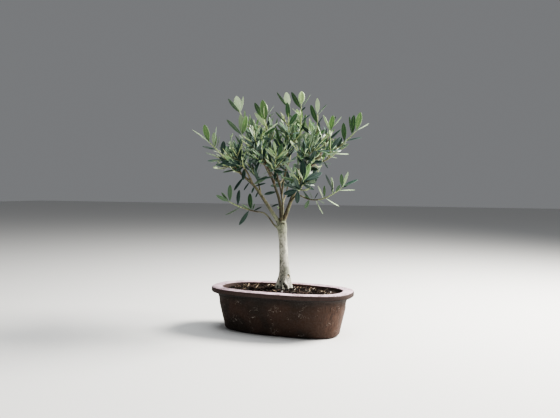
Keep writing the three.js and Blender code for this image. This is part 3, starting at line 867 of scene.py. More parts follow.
LIMBS = [
    Limb("left_bough", "trunk", 0.82, ((-21, -2, 158), (-39.6, -4, 186.6), (-56, -5, 209.5)), (-77, -6, 229),
         4.3, 2.4, (-150, -8, 300), 5, 15, "left_outer_leaves"),
    Limb("middle_bough", "trunk", 0.86, ((-4.5, -6, 178), (-13, -11, 205.5)), (-24, -14, 235),
         3.7, 2.1, (-91, -10, 366), 6, 108, "left_upper_leaves"),
    Limb("right_bough", "trunk", 0.86, ((12.8, 1, 164), (22.5, 2, 191), (46, 4, 238), (68, 3, 265)), (87, 1, 274),
         4.3, 2.0, (151, -2, 324), 4, 116, "right_outer_leaves"),
    Limb("back_bough", "trunk", 0.84, ((2, 14, 168), (-2, 25, 200)), (-9, 30, 228),
         2.6, 1.7, (-38.3, 24, 362), 6, 117, "centre_left_leaves"),
    Limb("low_left_branch", "trunk", 0.73, ((-15, -3, 130), (-28, -4, 147.5), (-38, -5, 155.5)), (-50, -6, 157.5),
         1.9, 1.3, (-108, -10, 178), 0, 1444),
    Limb("low_right_branch", "right_bough", 0.36, ((36, -3, 191),), (48, -6, 186),
         1.7, 1.3, (123, -14, 209), 0, 134),
    Limb("low_back_branch", "back_bough", 0.4, ((6, 36, 186),), (11, 58, 204),
         1.7, 1.3, (30, 116, 246), 3, 25),
    Limb("front_right_branch", "right_bough", 0.3, ((27, -20, 190),), (34, -44, 202),
         1.9, 1.5, (41, -92, 220), 4, 440),
    Limb("front_branch", "middle_bough", 0.75, ((-16, -21, 216),), (-15, -32, 230),
         1.8, 1.4, (-12.4, -64, 280), 4, 76, "centre_front_leaves"),
    Limb("front_high_branch", "right_bough", 0.48, ((36, -13, 222),), (40, -30, 238),
         1.8, 1.4, (53, -84, 292), 4, 26),
    Limb("front_left_branch", "middle_bough", 0.9, ((-27, -25, 236),), (-36, -40, 254),
         1.7, 1.4, (-56, -84, 314), 4, 112),
    Limb("left_front_branch", "left_bough", 0.82, ((-64, -15, 225),), (-73, -28, 240),
         1.8, 1.4, (-98, -60, 284), 4, 47),
    Limb("left_back_branch", "left_bough", 0.86, ((-69, 14, 232),), (-80, 36, 250),
         1.8, 1.4, (-114, 84, 306), 3, 91),
    Limb("left_inner_branch", "left_bough", 0.6, ((-45, 2, 200),), (-47, 5, 210),
         1.7, 1.4, (-65, 16, 300), 4, 12),
    Limb("top_left_branch", "back_bough", 0.6, ((2, 18, 212),), (5, 8, 228),
         1.8, 1.5, (11.2, -16, 378), 6, 11),
    Limb("top_right_branch", "right_bough", 0.42, ((31, 15, 224),), (33, 24, 246),
         2.0, 1.6, (39.5, 34, 384), 6, 43),
    Limb("right_crown_branch", "right_bough", 0.64, ((54, -4, 256),), (60, -8, 273),
         1.8, 1.5, (70.5, -14, 362), 5, 28),
    Limb("shoulder_branch", "right_bough", 0.88, ((80, 9, 279),), (86, 15, 290),
         1.7, 1.4, (102, 22, 334), 3, 74),
    Limb("right_front_branch", "right_bough", 0.68, ((64, -10, 256),), (75, -22, 258),
         1.7, 1.4, (106, -44, 276), 3, 60),
    Limb("back_centre_branch", "back_bough", 0.84, ((0, 44, 222),), (7, 62, 238),
         1.7, 1.4, (22, 120, 300), 3, 91),
    Limb("back_left_branch", "back_bough", 0.92, ((-20, 42, 236),), (-34, 56, 256),
         1.7, 1.4, (-62, 96, 344), 3, 96),
    Limb("back_right_branch", "right_bough", 0.52, ((48, 24, 236),), (62, 46, 250),
         1.8, 1.4, (106, 98, 296), 3, 61),
    Limb("back_top_branch", "top_right_branch", 0.72, ((38, 38, 252),), (46, 56, 276),
         1.6, 1.3, (60, 88, 358), 3, 90),
]


@dataclass(frozen=True)
class TrunkShape:
    """The trunk's stations: height over the soil, radius, and lean of its middle line to the right."""

    stations: Points = (
        (0, 17.6, 3.4), (8, 16.2, 3.8), (17, 14.0, 5.0), (30, 11.6, 6.0), (48, 10.0, 5.2), (72, 9.0, 4.0),
        (95, 8.3, 2.8), (112, 9.0, 1.4), (124, 10.4, 0.2), (134, 9.6, -0.2), (139, 6.0, 0.0),
    )
    ridges: int = 5
    ridge_depth: float = 0.13
    ridge_fade: float = 20.0
    ridge_turn: float = 0.8

    def line(self) -> SmoothLine:
        """The trunk's middle line."""
        return SmoothLine(np.array([(lean, 0.0, GAP + height) for height, _, lean in self.stations]))

    def shape(self) -> SmoothLine:
        """The lean, radius and height of the trunk, as one line."""
        return SmoothLine(np.array([(lean, radius, GAP + height) for height, radius, lean in self.stations]))

    def radius(self, share: float) -> float:
        """The radius at a share of the run."""
        return float(self.shape().at(share)[1])

    def rings(self, count: int, sides: int) -> Array:
        """The flared and ridged skin.

        Args:
            count: number of rings.
            sides: points in a ring.

        Returns:
            Points by ring and side.
        """
        angles = np.linspace(0, 2 * math.pi, sides, endpoint=False)
        rings = []
        for lean, radius, height in (self.shape().at(share) for share in np.linspace(0, 1, count)):
            depth = self.ridge_depth * math.exp(-height / self.ridge_fade)
            reach = radius * (1 + depth * np.cos(self.ridges * angles + self.ridge_turn))
            heights = np.full(sides, height)
            rings.append(np.stack([lean + reach * np.cos(angles), reach * np.sin(angles), heights], -1))
        return np.array(rings)


@dataclass(frozen=True)
class GrownLimb:
    """A limb's middle line, length and taper."""

    line: SmoothLine
    length: float
    root: float
    end: float
    collar: float = 0.7
    collar_fade: float = 11.0

    def radius(self, share: float) -> float:
        """The radius at a share of the run, thicker where the limb leaves its parent."""
        swell = self.collar * math.exp(-share * self.length / self.collar_fade)
        return lerp(self.root, self.end, share) * (1 + swell)


@dataclass(frozen=True)
class ShootRule:
    """How shoots grow from a leading shoot."""

    bend: float = 0.45
    side_length: float = 52.0
    side_shorter: float = 0.4
    side_angle: float = math.radians(50)
    turn: float = math.radians(137.5)
    first: float = 0.1
    last: float = 0.78
    stray: float = 0.6
    lift: float = 0.55
    vary: float = 0.15
    tip_radius: float = 0.8
    side_radius: float = 1.3
    lengths_tried: Floats = (1.0, 0.8, 0.6)
    looked: Floats = (0.4, 0.7, 1.0)


@dataclass(frozen=True)
class LeafRule:
    """How leaves sit on a shoot."""

    length: float = 38.0
    width: float = 11.0
    keel: float = 1.0
    widest: float = 0.46
    spacing: float = 18.5
    first_pair: float = 7.0
    last_pair: float = 0.985
    shortest: float = 0.8
    longest: float = 1.05
    vary: float = 0.1
    wide_angle: float = math.radians(58)
    close_angle: float = math.radians(26)
    tip_angle: float = math.radians(15)
    wobble: float = math.radians(9)
    angles_tried: Floats = (1.0, 0.6)

    def opening(self, share: float, last: bool) -> float:
        """The angle between leaf and shoot at a share of the shoot."""
        return self.tip_angle if last else lerp(self.wide_angle, self.close_angle, share)

    def size(self, share: float) -> float:
        """The length of a leaf at a share of the shoot, against the full length."""
        return lerp(self.shortest, self.longest, math.sin(math.pi * share))


@dataclass(frozen=True)
class FineRule:
    """How the scene's own pairs, twigs and tip leaves fill in between the growth that the solids have too."""

    margins: Floats = (-2.5, 0.6)
    pairs_to: float = 0.5
    wobble: float = 1.5
    pair_size: Floats = (0.78, 1.0)
    twig_every: float = 27.0
    twig_at: Floats = (0.1, 0.62)
    twig_length: Floats = (18.0, 32.0)
    twig_root: float = 0.9
    twig_end: float = 0.6
    twig_spacing: float = 10.0
    twig_first: float = 0.35
    twig_size: Floats = (0.6, 0.85)
    tip_turn: float = 0.8
    tip_degrees: Floats = (8, 16)
    tip_length: Floats = (9.0, 15.0)


@dataclass(frozen=True)
class SprayRule:
    """How the leaves that stand free are set, and how the others keep clear of them."""

    stem_points: int = 60
    thinnest_stem: float = 1.0
    deeper: float = 0.05
    lean: float = 0.3
    front: float = -30.0
    longest: float = 1.3
    breadth: float = 1.6
    loose: float = 0.35
    clear: float = 3.2
    clear_run: Floats = (0.15, 0.9)
    clear_behind: float = 3.0


@dataclass
class Leaf:
    """One leaf: where its foot is, where it heads, which way is across it, and how long it is."""

    foot: Array
    heading: Array
    across: Array
    length: float
    tint: Tint | None = None
    breadth: float = 1.0
    loose: float = 1.0

    def at(self, share: float) -> Array:
        """The point at a share of its length."""
        return self.foot + share * self.length * self.heading


@dataclass
class Shoot:
    """A shoot with its leaves. Its phase is how far its first pair is turned round it."""

    line: BentLine
    root: float
    end: float
    leaves: list[Leaf] = field(default_factory=list)
    phase: float = 0.0
    pairs: int = 0


@dataclass
class Mass:
    """The foliage at the end of one limb."""

    limb: Limb
    leader: BentLine
    sites: Array
    shoots: list[Shoot] = field(default_factory=list)


def aside(heading: Array, angle: float) -> Array:
    """A unit vector square to the heading, at an angle round it from its upper side."""
    side = unit(np.cross(heading, UP))
    return math.cos(angle) * np.cross(side, heading) + math.sin(angle) * side


def turned(heading: Array, out: Array, angle: float) -> Array:
    """The heading turned by an angle towards a vector that is square to it."""
    return math.cos(angle) * heading + math.sin(angle) * out


class Tree:
    """Grows the limbs and every mass by the rule of the solids, then finer shoots and leaves within them."""

    SITES = (0.05, 0.35, 0.65, 1.0)
    LIMB_STEP = 6.0
    MARGIN = 0.9
    LIMB_MARGIN = 1.2
    FINE_SEED = 5000
    SPRAY_SEED = 700
    SHOOT_SHOWS_AT = (0.6, 1.0)
    LEAF_SHOWS_AT = (0.45, 0.9)
    LEAF_ENDS_AT = 1.08

    def __init__(
        self, trunk: TrunkShape, shoot_rule: ShootRule, leaf_rule: LeafRule, fine: FineRule, free: SprayRule
    ) -> None:
        """Grows the limbs and shares out the space of the crown.

        Args:
            trunk: the trunk's sizes.
            shoot_rule: how shoots grow.
            leaf_rule: how leaves sit.
            fine: how the scene's own growth fills in.
            free: how the leaves that stand free are set.
        """
        self.trunk, self.shoot_rule, self.leaf_rule, self.fine, self.free = trunk, shoot_rule, leaf_rule, fine, free
        self.view = View()
        self.limbs: dict[str, GrownLimb] = {}
        lines: dict[str, Line] = {"trunk": trunk.line()}
        for limb in LIMBS:
            start = lines[limb.parent].at(limb.at)
            line = SmoothLine(np.array([start, *limb.via, limb.tip], float))
            lines[limb.name] = line
            self.limbs[limb.name] = GrownLimb(line, line.length(), limb.root, limb.end)
        self.masses = [self._mass(limb) for limb in LIMBS]
        self._limb_points(lines["trunk"])

    def _mass(self, limb: Limb) -> Mass:
        """The leading shoot of a limb's foliage, and the points that claim the space round it."""
        line = self.limbs[limb.name].line
        heading = line.heading(1.0)
        start = line.at(1.0) + GAP * heading
        end = np.array(limb.shoot_tip, float)
        bend = start + self.shoot_rule.bend * norm(end - start) * heading
        leader = BentLine(start, bend, end)
        return Mass(limb, leader, np.array([leader.at(share) for share in self.SITES]))

    def _limb_points(self, trunk_line: Line) -> None:
        """Keeps points along the trunk and every limb, with the radius at each."""
        points, radii = [], []
        runs = [(trunk_line, self.trunk.radius), *((limb.line, limb.radius) for limb in self.limbs.values())]
        for line, radius in runs:
            for share in np.linspace(0, 1, math.ceil(line.length() / self.LIMB_STEP) + 1):
                points.append(line.at(share))
                radii.append(radius(share))
        self.limb_points, self.limb_radii = np.array(points), np.array(radii)

    def fits(self, mass: Mass, points: Array, margin: float, limb_margin: float = LIMB_MARGIN) -> bool:
        """Whether points lie in a mass's own space and clear of every limb.

        Args:
            mass: the mass whose space it is.
            points: the points that are looked at.
            margin: how far inside the space they have to be.
            limb_margin: how far from a limb's skin they have to be.

        Returns:
            True if they all do.
        """
        to_limbs = norm(self.limb_points[None] - points[:, None], axis=2)
        if not (to_limbs > self.limb_radii + limb_margin).all():
            return False
        others = np.concatenate([other.sites for other in self.masses if other is not mass])
        to_own = norm(mass.sites[None] - points[:, None], axis=2)
        nearest = to_own.argmin(1)
        own = mass.sites[nearest]
        squares = ((others[None] - points[:, None]) ** 2).sum(2) - to_own[np.arange(len(points)), nearest, None] ** 2
        room = squares / (2 * norm(others[None] - own[:, None], axis=2))
        return bool(room.min() > margin)

    def side_shoot(
        self, mass: Mass, parent: BentLine, share: float, angle: float, length: float, margin: float = MARGIN
    ) -> BentLine | None:
        """A shoot that leaves its parent at an angle and curves up, at the greatest length that fits, or none."""
        rule = self.shoot_rule
        start, heading = parent.at(share), parent.heading(share)
        out = turned(heading, aside(heading, angle), rule.side_angle)
        lifted = unit(out + rule.lift * UP)
        for part in rule.lengths_tried:
            bend = start + 0.5 * part * length * out
            line = BentLine(start, bend, bend + 0.5 * part * length * lifted)
            if self.fits(mass, np.array([line.at(place) for place in rule.looked]), margin):
                return line
        return None

    def _sprout(
        self, mass: Mass, shoot: Shoot, share: float, turn: float, angle: float, length: float,
        margins: Floats = (MARGIN, LIMB_MARGIN),
    ) -> None:
        """Adds a leaf to a shoot, at the widest angle that keeps it in its mass's space, or none.

        Args:
            mass: the mass that the shoot belongs to.
            shoot: the shoot.
            share: where the leaf sits, as a share of the shoot's run.
            turn: its angle round the shoot.
            angle: its widest angle from the shoot.
            length: its length.
            margins: how far it keeps inside the mass's space and off the limbs.
        """
        rule = self.leaf_rule
        foot, stem = shoot.line.at(share), shoot.line.heading(share)
        out = aside(stem, turn)
        across = np.cross(stem, out)
        for part in rule.angles_tried:
            heading = turned(stem, out, part * angle)
            wide = foot + rule.widest * length * heading
            half = 0.5 * rule.width * length / rule.length * across
            keel = wide + rule.keel * np.cross(across, heading)
            looked = np.array([wide - half, wide + half, keel, foot + length * heading])
            if self.fits(mass, looked, *margins):
                shoot.leaves.append(Leaf(foot, heading, across, length))
                return

    def grow(self) -> None:
        """Grows every mass as the solids have it, then its finer growth."""
        for mass in self.masses:
            self._grow_coarse(mass, Stream(mass.limb.seed))
        for mass in self.masses:
            self._grow_fine(mass, Stream(mass.limb.seed + self.FINE_SEED))
        for mass in self.masses:
            mass.shoots = [
                shoot for shoot in mass.shoots
                if shoot.line is mass.leader or self._stays(*(shoot.line.at(at) for at in self.SHOOT_SHOWS_AT))
            ]
        sprays = [self._spray(mass) for mass in self.masses]
        ends = np.array([[leaf.foot, leaf.at(1.0)] for spray in sprays for leaf in spray])
        for mass, spray in zip(self.masses, sprays):
            for shoot in mass.shoots:
                shoot.leaves = [leaf for leaf in shoot.leaves if self._shows(leaf, ends)]
            mass.shoots[0].leaves += spray

    def _shows(self, leaf: Leaf, sprays: Array) -> bool:
        """Whether a leaf is in the solids' box and the dense crown and shows in front of no free leaf.

        Args:
            leaf: the leaf that is looked at.
            sprays: the foot and tip of each leaf that stands free.

        Returns:
            True if it stays.
        """
        tip = tree_to_world(leaf.at(self.LEAF_ENDS_AT))
        if (tip < CAD_BOX[0]).any() or (tip > CAD_BOX[1]).any():
            return False
        return self._stays(*(leaf.at(at) for at in self.LEAF_SHOWS_AT)) and not self._hides(leaf, sprays)

    def _stays(self, *points: Array) -> bool:
        """Whether points show within the dense crown, clear of its sky."""
        seen = self.view.seen(np.array(points))
        for x, y, half_width, half_height in SKY:
            if (((seen - (x, y)) / (half_width, half_height)) ** 2).sum(1).min() < 1:
                return False
        return bool(inside(seen, DENSE).all())

    def _hides(self, leaf: Leaf, sprays: Array) -> bool:
        """Whether a leaf shows in front of one that stands free."""
        middle = leaf.at(0.5)
        foot, tip = np.moveaxis(self.view.seen(sprays), 1, 0)
        run, away = tip - foot, self.view.seen(middle) - foot
        share = np.clip((away * run).sum(1) / (run**2).sum(1), *self.free.clear_run)
        apart = norm(away - share[:, None] * run, axis=1)
        ahead = middle[1] < sprays[:, :, 1].mean(1) + self.free.clear_behind
        return bool(((apart < self.free.clear) & ahead).any())

    def _spray(self, mass: Mass) -> list[Leaf]:
        """The leaves of a limb that stand free, each from the nearest stem, broad or edge on as it shows."""
        draw, rule, put = Stream(mass.limb.seed + self.SPRAY_SEED), self.free, self.view.put
        ahead = -self.view.axes()[2]
        stems = [shoot.line for shoot in mass.shoots if shoot.root > rule.thinnest_stem]
        stems.insert(0, self.limbs[mass.limb.name].line)
        places = np.concatenate([line.evenly(rule.stem_points) for line in stems])
        behind = rule.deeper * abs(places[:, 1] - mass.leader.end[1])
        seen = self.view.seen(places)
        leaves = []
        for foot_x, foot_y, tip_x, tip_y, facing, tint in SPRAYS.get(mass.limb.name, ()):
            foot = places[(norm(seen - (foot_x, foot_y), axis=1) + behind).argmin()]
            full = norm(put(tip_x, tip_y, foot[1]) - put(foot_x, foot_y, foot[1]))
            lean = rule.lean * full * draw.between(-1, 1)
            reach = put(tip_x, tip_y, foot[1] + (abs(lean) if foot[1] < rule.front else lean)) - foot
            heading = unit(reach)
            side = unit(np.cross(heading, ahead))
            front = np.cross(heading, side)
            level = -side if tint in (YOUNG, FRESH) or side[0] * facing > 0 else side
            top = facing * front + math.sqrt(1 - facing * facing) * level
            length = min(norm(reach), rule.longest * full)
            leaves.append(Leaf(foot, heading, np.cross(top, heading), length, tint, rule.breadth, rule.loose))
        return leaves

    def _grow_coarse(self, mass: Mass, draw: Stream) -> None:
        """The shoots and leaves that the solids have too."""
        rule = self.shoot_rule
        mass.shoots.append(Shoot(mass.leader, mass.limb.end, rule.tip_radius))
        phase = 2 * math.pi * draw()
        for k in range(mass.limb.side_shoots):
            share = lerp(rule.first, rule.last, (k + rule.stray * draw()) / mass.limb.side_shoots)
            length = rule.side_length * (1 - rule.side_shorter * share) * draw.varied(rule.vary)
            line = self.side_shoot(mass, mass.leader, share, phase + k * rule.turn, length)
            if line:
                mass.shoots.append(Shoot(line, rule.side_radius, rule.tip_radius))
        for shoot in mass.shoots:
            self._coarse_leaves(mass, shoot, draw)

    def _coarse_leaves(self, mass: Mass, shoot: Shoot, draw: Stream) -> None:
        """Opposite pairs up a shoot, each square to the one below and closing up towards the tip."""
        rule = self.leaf_rule
        length = shoot.line.chord()
        shoot.pairs = max(1, math.floor((length - rule.first_pair) / rule.spacing + 0.5))
        shoot.phase = math.pi * draw()
        for pair in range(shoot.pairs + 1):
            share = self._pair_share(shoot, pair)
            for side in BOTH_SIDES:
                angle = rule.opening(share, pair == shoot.pairs) + rule.wobble * (draw() - 0.5)
                turn = shoot.phase + pair * math.pi / 2 + side + rule.wobble * (draw() - 0.5)
                size = rule.length * rule.size(share) * draw.varied(rule.vary)
                self._sprout(mass, shoot, share, turn, angle, size)

    def _pair_share(self, shoot: Shoot, pair: float) -> float:
        """Where a pair sits on its shoot, as a share of the run."""
        rule = self.leaf_rule
        return lerp(rule.first_pair / shoot.line.chord(), rule.last_pair, pair / shoot.pairs)

    def _grow_fine(self, mass: Mass, draw: Stream) -> None:
        """Pairs of leaves between the others, and short twigs of their own."""
        rule, fine = self.leaf_rule, self.fine
        for shoot in list(mass.shoots):
            for pair in range(shoot.pairs):
                share = self._pair_share(shoot, pair + 0.5)
                if share > fine.pairs_to:
                    continue
                for side in BOTH_SIDES:
                    angle = rule.opening(share, False) + fine.wobble * rule.wobble * (draw() - 0.5)
                    turn = shoot.phase + (pair + 1) * math.pi / 2 + math.pi / 4 + side + rule.wobble * (draw() - 0.5)
                    size = rule.length * rule.size(share) * draw.between(*fine.pair_size)
                    self._sprout(mass, shoot, share, turn, angle, size, fine.margins)
            self._fine_twigs(mass, shoot, draw)
            self._tip_leaves(shoot, draw)

    def _fine_twigs(self, mass: Mass, shoot: Shoot, draw: Stream) -> None:
        """Short twigs with small leaves, where they fit between the others."""
        fine = self.fine
        for _ in range(round(shoot.line.chord() / fine.twig_every)):
            share = draw.between(*fine.twig_at)
            angle = 2 * math.pi * draw()
            length = draw.between(*fine.twig_length)
            line = self.side_shoot(mass, shoot.line, share, angle, length, fine.margins[0])
            seed = int(draw() * WORD)
            if not line:
                continue
            pairs = max(1, round(line.chord() / fine.twig_spacing) - 1)
            twig = Shoot(line, fine.twig_root, fine.twig_end, phase=angle, pairs=pairs)
            self._twig_leaves(mass, twig, Stream(seed))
            if len(twig.leaves) > 1:
                mass.shoots.append(twig)
                self._tip_leaves(twig, Stream(seed + 1))

    def _twig_leaves(self, mass: Mass, twig: Shoot, draw: Stream) -> None:
        """Pairs of leaves along a short twig."""
        rule, fine = self.leaf_rule, self.fine
        for pair in range(twig.pairs + 1):
            share = lerp(fine.twig_first, rule.last_pair, pair / twig.pairs)
            for side in BOTH_SIDES:
                angle = rule.opening(share, pair == twig.pairs) + rule.wobble * (draw() - 0.5)
                turn = twig.phase + pair * math.pi / 2 + side
                size = rule.length * draw.between(*fine.twig_size)
                self._sprout(mass, twig, share, turn, angle, size, fine.margins)

    def _tip_leaves(self, shoot: Shoot, draw: Stream) -> None:
        """The two small new leaves that close round a shoot's bud."""
        stem = shoot.line.heading(1.0)
        for side in BOTH_SIDES:
            out = aside(stem, shoot.phase + self.fine.tip_turn + side)
            heading = turned(stem, out, math.radians(draw.between(*self.fine.tip_degrees)))
            size = draw.between(*self.fine.tip_length)
            shoot.leaves.append(Leaf(shoot.line.at(1.0), heading, np.cross(stem, out), size, YOUNG))


# Foliage


@dataclass(frozen=True)
class LeafBlade:
    """The shape of one blade: its outline and thickness by station, and its section."""

    stations: Floats = (0.0, 0.05, 0.1, 0.2, 0.34, 0.5, 0.66, 0.79, 0.89, 0.96, 1.0)
    widths: Floats = (0.10, 0.10, 0.18, 0.50, 0.83, 1.0, 0.98, 0.83, 0.60, 0.33, 0.03)
    thickness: Floats = (1.2, 1.2, 1.1, 1.0, 1.0, 1.0, 1.0, 0.9, 0.7, 0.4, 0.1)
    section: Points = (
        (1.0, 0.10, -0.08), (0.86, 0.15, 0.02), (0.55, 0.15, 0.12), (0.07, 0.0, 0.0), (-0.07, 0.0, 0.0),
        (-0.55, 0.15, 0.12), (-0.86, 0.15, 0.02), (-1.0, 0.10, -0.08), (-0.58, 0.15, -0.26), (0.0, 0.0, -0.62),
        (0.58, 0.15, -0.26),
    )
    strips: Sequence[int] = (2, 0, 0, 1, 0, 0, 2, 2, 2, 2, 2)
    sunk: float = 0.3
    curls: Floats = (-0.34, 0.20)
    twists: Floats = (-0.5, 0.5)
    width_vary: float = 0.14
    thick_from: float = 30.0

    def points(self, leaves: Sequence[Leaf], draw: Stream) -> Array:
        """The points of many leaves.

        Args:
            leaves: the leaves.
            draw: gives each leaf its own curl, twist and width.

        Returns:
            Points by leaf, station and place in the section.
        """
        varied = []
        for leaf in leaves:
            curl, twist = (leaf.loose * draw.between(*ends) for ends in (self.curls, self.twists))
            varied.append((curl, twist, draw.varied(self.width_vary)))
        curl, twist, width = np.array(varied).T[..., None, None, None]
        foot, heading, across = (
            np.array([getattr(leaf, name) for leaf in leaves])[:, None, None] for name in ("foot", "heading", "across")
        )
        length = np.array([leaf.length for leaf in leaves])[:, None, None, None]
        top = np.cross(heading, across)
        share = np.array(self.stations)[None, :, None, None]
        bend = np.where(np.abs(curl) < 1e-3, 1e-3, curl)
        ahead, rise = np.sin(bend * share) / bend, (1 - np.cos(bend * share)) / bend
        middle = foot - self.sunk * heading + length * (ahead * heading + rise * top)
        lifted = np.cos(bend * share) * top - np.sin(bend * share) * heading
        side = np.cos(twist * share) * across + np.sin(twist * share) * lifted
        lifted = np.cos(twist * share) * lifted - np.sin(twist * share) * across
        slender = np.array([leaf.breadth * leaf.tint.value.half_width for leaf in leaves])[:, None, None, None]
        half = np.array(self.widths)[None, :, None, None] * slender * width * length
        thick = np.array(self.thickness)[None, :, None, None] * np.minimum(1.0, length / self.thick_from)
        out, fold, level = (np.array(self.section)[None, None, :, k, None] for k in range(3))
        return middle + side * out * half + lifted * (fold * half + level * thick)

    def faces(self) -> tuple[Array, list[int]]:
        """The faces of one leaf and the number of the finish of each."""
        count, sides = len(self.stations), len(self.section)
        return skin_faces(count, sides), list(self.strips) * (count - 1)


@dataclass
class Foliage:
    """The shoots and leaves of every mass, as a few joined pieces."""

    tree: Tree
    blade: LeafBlade = field(default_factory=LeafBlade)
    sides: int = 6
    into_limb: float = 2.5
    middle: Floats = (0.0, 5.0, 255.0)
    reach: Floats = (140.0, 110.0, 110.0)
    stoutness: float = 1.15
    ring_step: float = 6.0
    bud_length: float = 2.2
    bud_radius: float = 0.55
    low: float = 190.0
    rise: float = 170.0
    age: float = 4.35
    by_height: float = 1.3
    by_place: float = 0.9
    by_reach: float = 1.2
    by_chance: float = 0.6
    age_seed: int = 9000
    curl_seed: int = 71

    def build(self) -> None:
        """Makes one piece of shoots and one of leaves of each age."""
        self._deal_tints()
        self._shoots()
        for tint in Tint:
            self._leaves(tint)

    def _deal_tints(self) -> None:
        """Gives each spray an age by its height and its place, and each leaf of it one near that."""
        ages = list(Tint)
        for mass in self.tree.masses:
            draw = Stream(mass.limb.seed + self.age_seed)
            for shoot in mass.shoots:
                tip = shoot.line.end
                light = np.clip((tip[2] - self.low) / self.rise, 0, 1) + 0.25 * draw.between(-1, 1)
                for leaf in shoot.leaves:
                    along = norm(leaf.foot - shoot.line.start) / max(1.0, shoot.line.chord())
                    outer = min(1.0, norm((leaf.foot - self.middle) / self.reach))
                    age = self.age - self.by_height * light - self.by_place * along**2 - self.by_reach * outer
                    age += self.by_chance * draw.between(-1, 1)
                    if leaf.tint is None:
                        leaf.tint = ages[int(np.clip(round(age), 0, 3))]

    def _shoots(self) -> None:
        """The stems: woody at the foot of a leading shoot, green at the tips."""
        shell = Shell()
        for mass in self.tree.masses:
            for shoot in mass.shoots:
                self._stem(shell, shoot, shoot.line is mass.leader)
        place_piece("shoots", shell.mesh("shoots"), [finish.make() for finish in STEM])

    def _stem(self, shell: Shell, shoot: Shoot, leads: bool) -> None:
        """One stem, sunk into what carries it, with a bud at its tip."""
        line = shoot.line
        if leads:
            sunk = line.start - self.into_limb * line.heading(0.0)
            line = SmoothLine(np.array([sunk, *(line.at(k / 6) for k in range(7))]))
        count = max(4, round(shoot.line.chord() / self.ring_step))

        def radius(share: float) -> float:
            """The radius, drawn in to a bud at the tip."""
            return self.stoutness * lerp(shoot.root, shoot.end, share) * (1.0 if share < 0.999 else self.bud_radius)

        rings = rings_along(line, radius, self.sides, count)
        bud = rings[-1].mean(0) + self.bud_length * line.heading(1.0)
        shell.loft(tree_to_world(np.concatenate([rings, rings[-1:] * 0.15 + bud * 0.85])))
        ripe_from, green_from = (0.28, 0.5) if leads else (0.0, 0.3)
        stages = [(ring >= ripe_from * count) + (ring >= green_from * count) for ring in range(count)]
        kinds = [stage for stage in stages for _ in range(self.sides)] + [2] * 2 * self.sides
        shell.finishes[-len(kinds):] = kinds

    def _leaves(self, tint: Tint) -> None:
        """Every leaf of one age, as one piece; the piece of full-grown leaves stands for every mass."""
        leaves = [
            leaf for mass in self.tree.masses for shoot in mass.shoots for leaf in shoot.leaves if leaf.tint is tint
        ]
        points = tree_to_world(self.blade.points(leaves, Stream(list(Tint).index(tint) + self.curl_seed)))
        faces, strips = self.blade.faces()
        each = len(self.blade.stations) * len(self.blade.section)
        faces = faces[None] + each * np.arange(len(leaves))[:, None, None]
        shell = Shell([points.reshape(-1, 3)], faces.reshape(-1, 4).tolist(), strips * len(leaves))
        self._close_ends(shell, len(leaves), each)
        name = f"{tint.name.lower()}_leaves"
        masses = [mass.limb.leaves() for mass in self.tree.masses] if tint is FULL else []
        place_piece(name, shell.mesh(name), tint.value.make(), masses, crease=50)

    def _close_ends(self, shell: Shell, count: int, each: int) -> None:
        """Closes each leaf at its foot and its tip."""
        sides = len(self.blade.section)
        for k in range(count):
            first, last = k * each, (k + 1) * each - sides
            shell.faces += [list(range(first, first + sides))[::-1], list(range(last, last + sides))]
            shell.finishes += [1, 0]


# Trunk and boughs


@dataclass(frozen=True)
class Pit:
    """A knot, hole or hollow of the bark, as it shows from the front. Its reach and rim go by its radius."""

    REACH = 2.6
    RIM_AT = 1.45
    RIM_HEIGHT = 0.35

    x: float
    z: float
    radius: float
    depth: float
    cut: bool = False


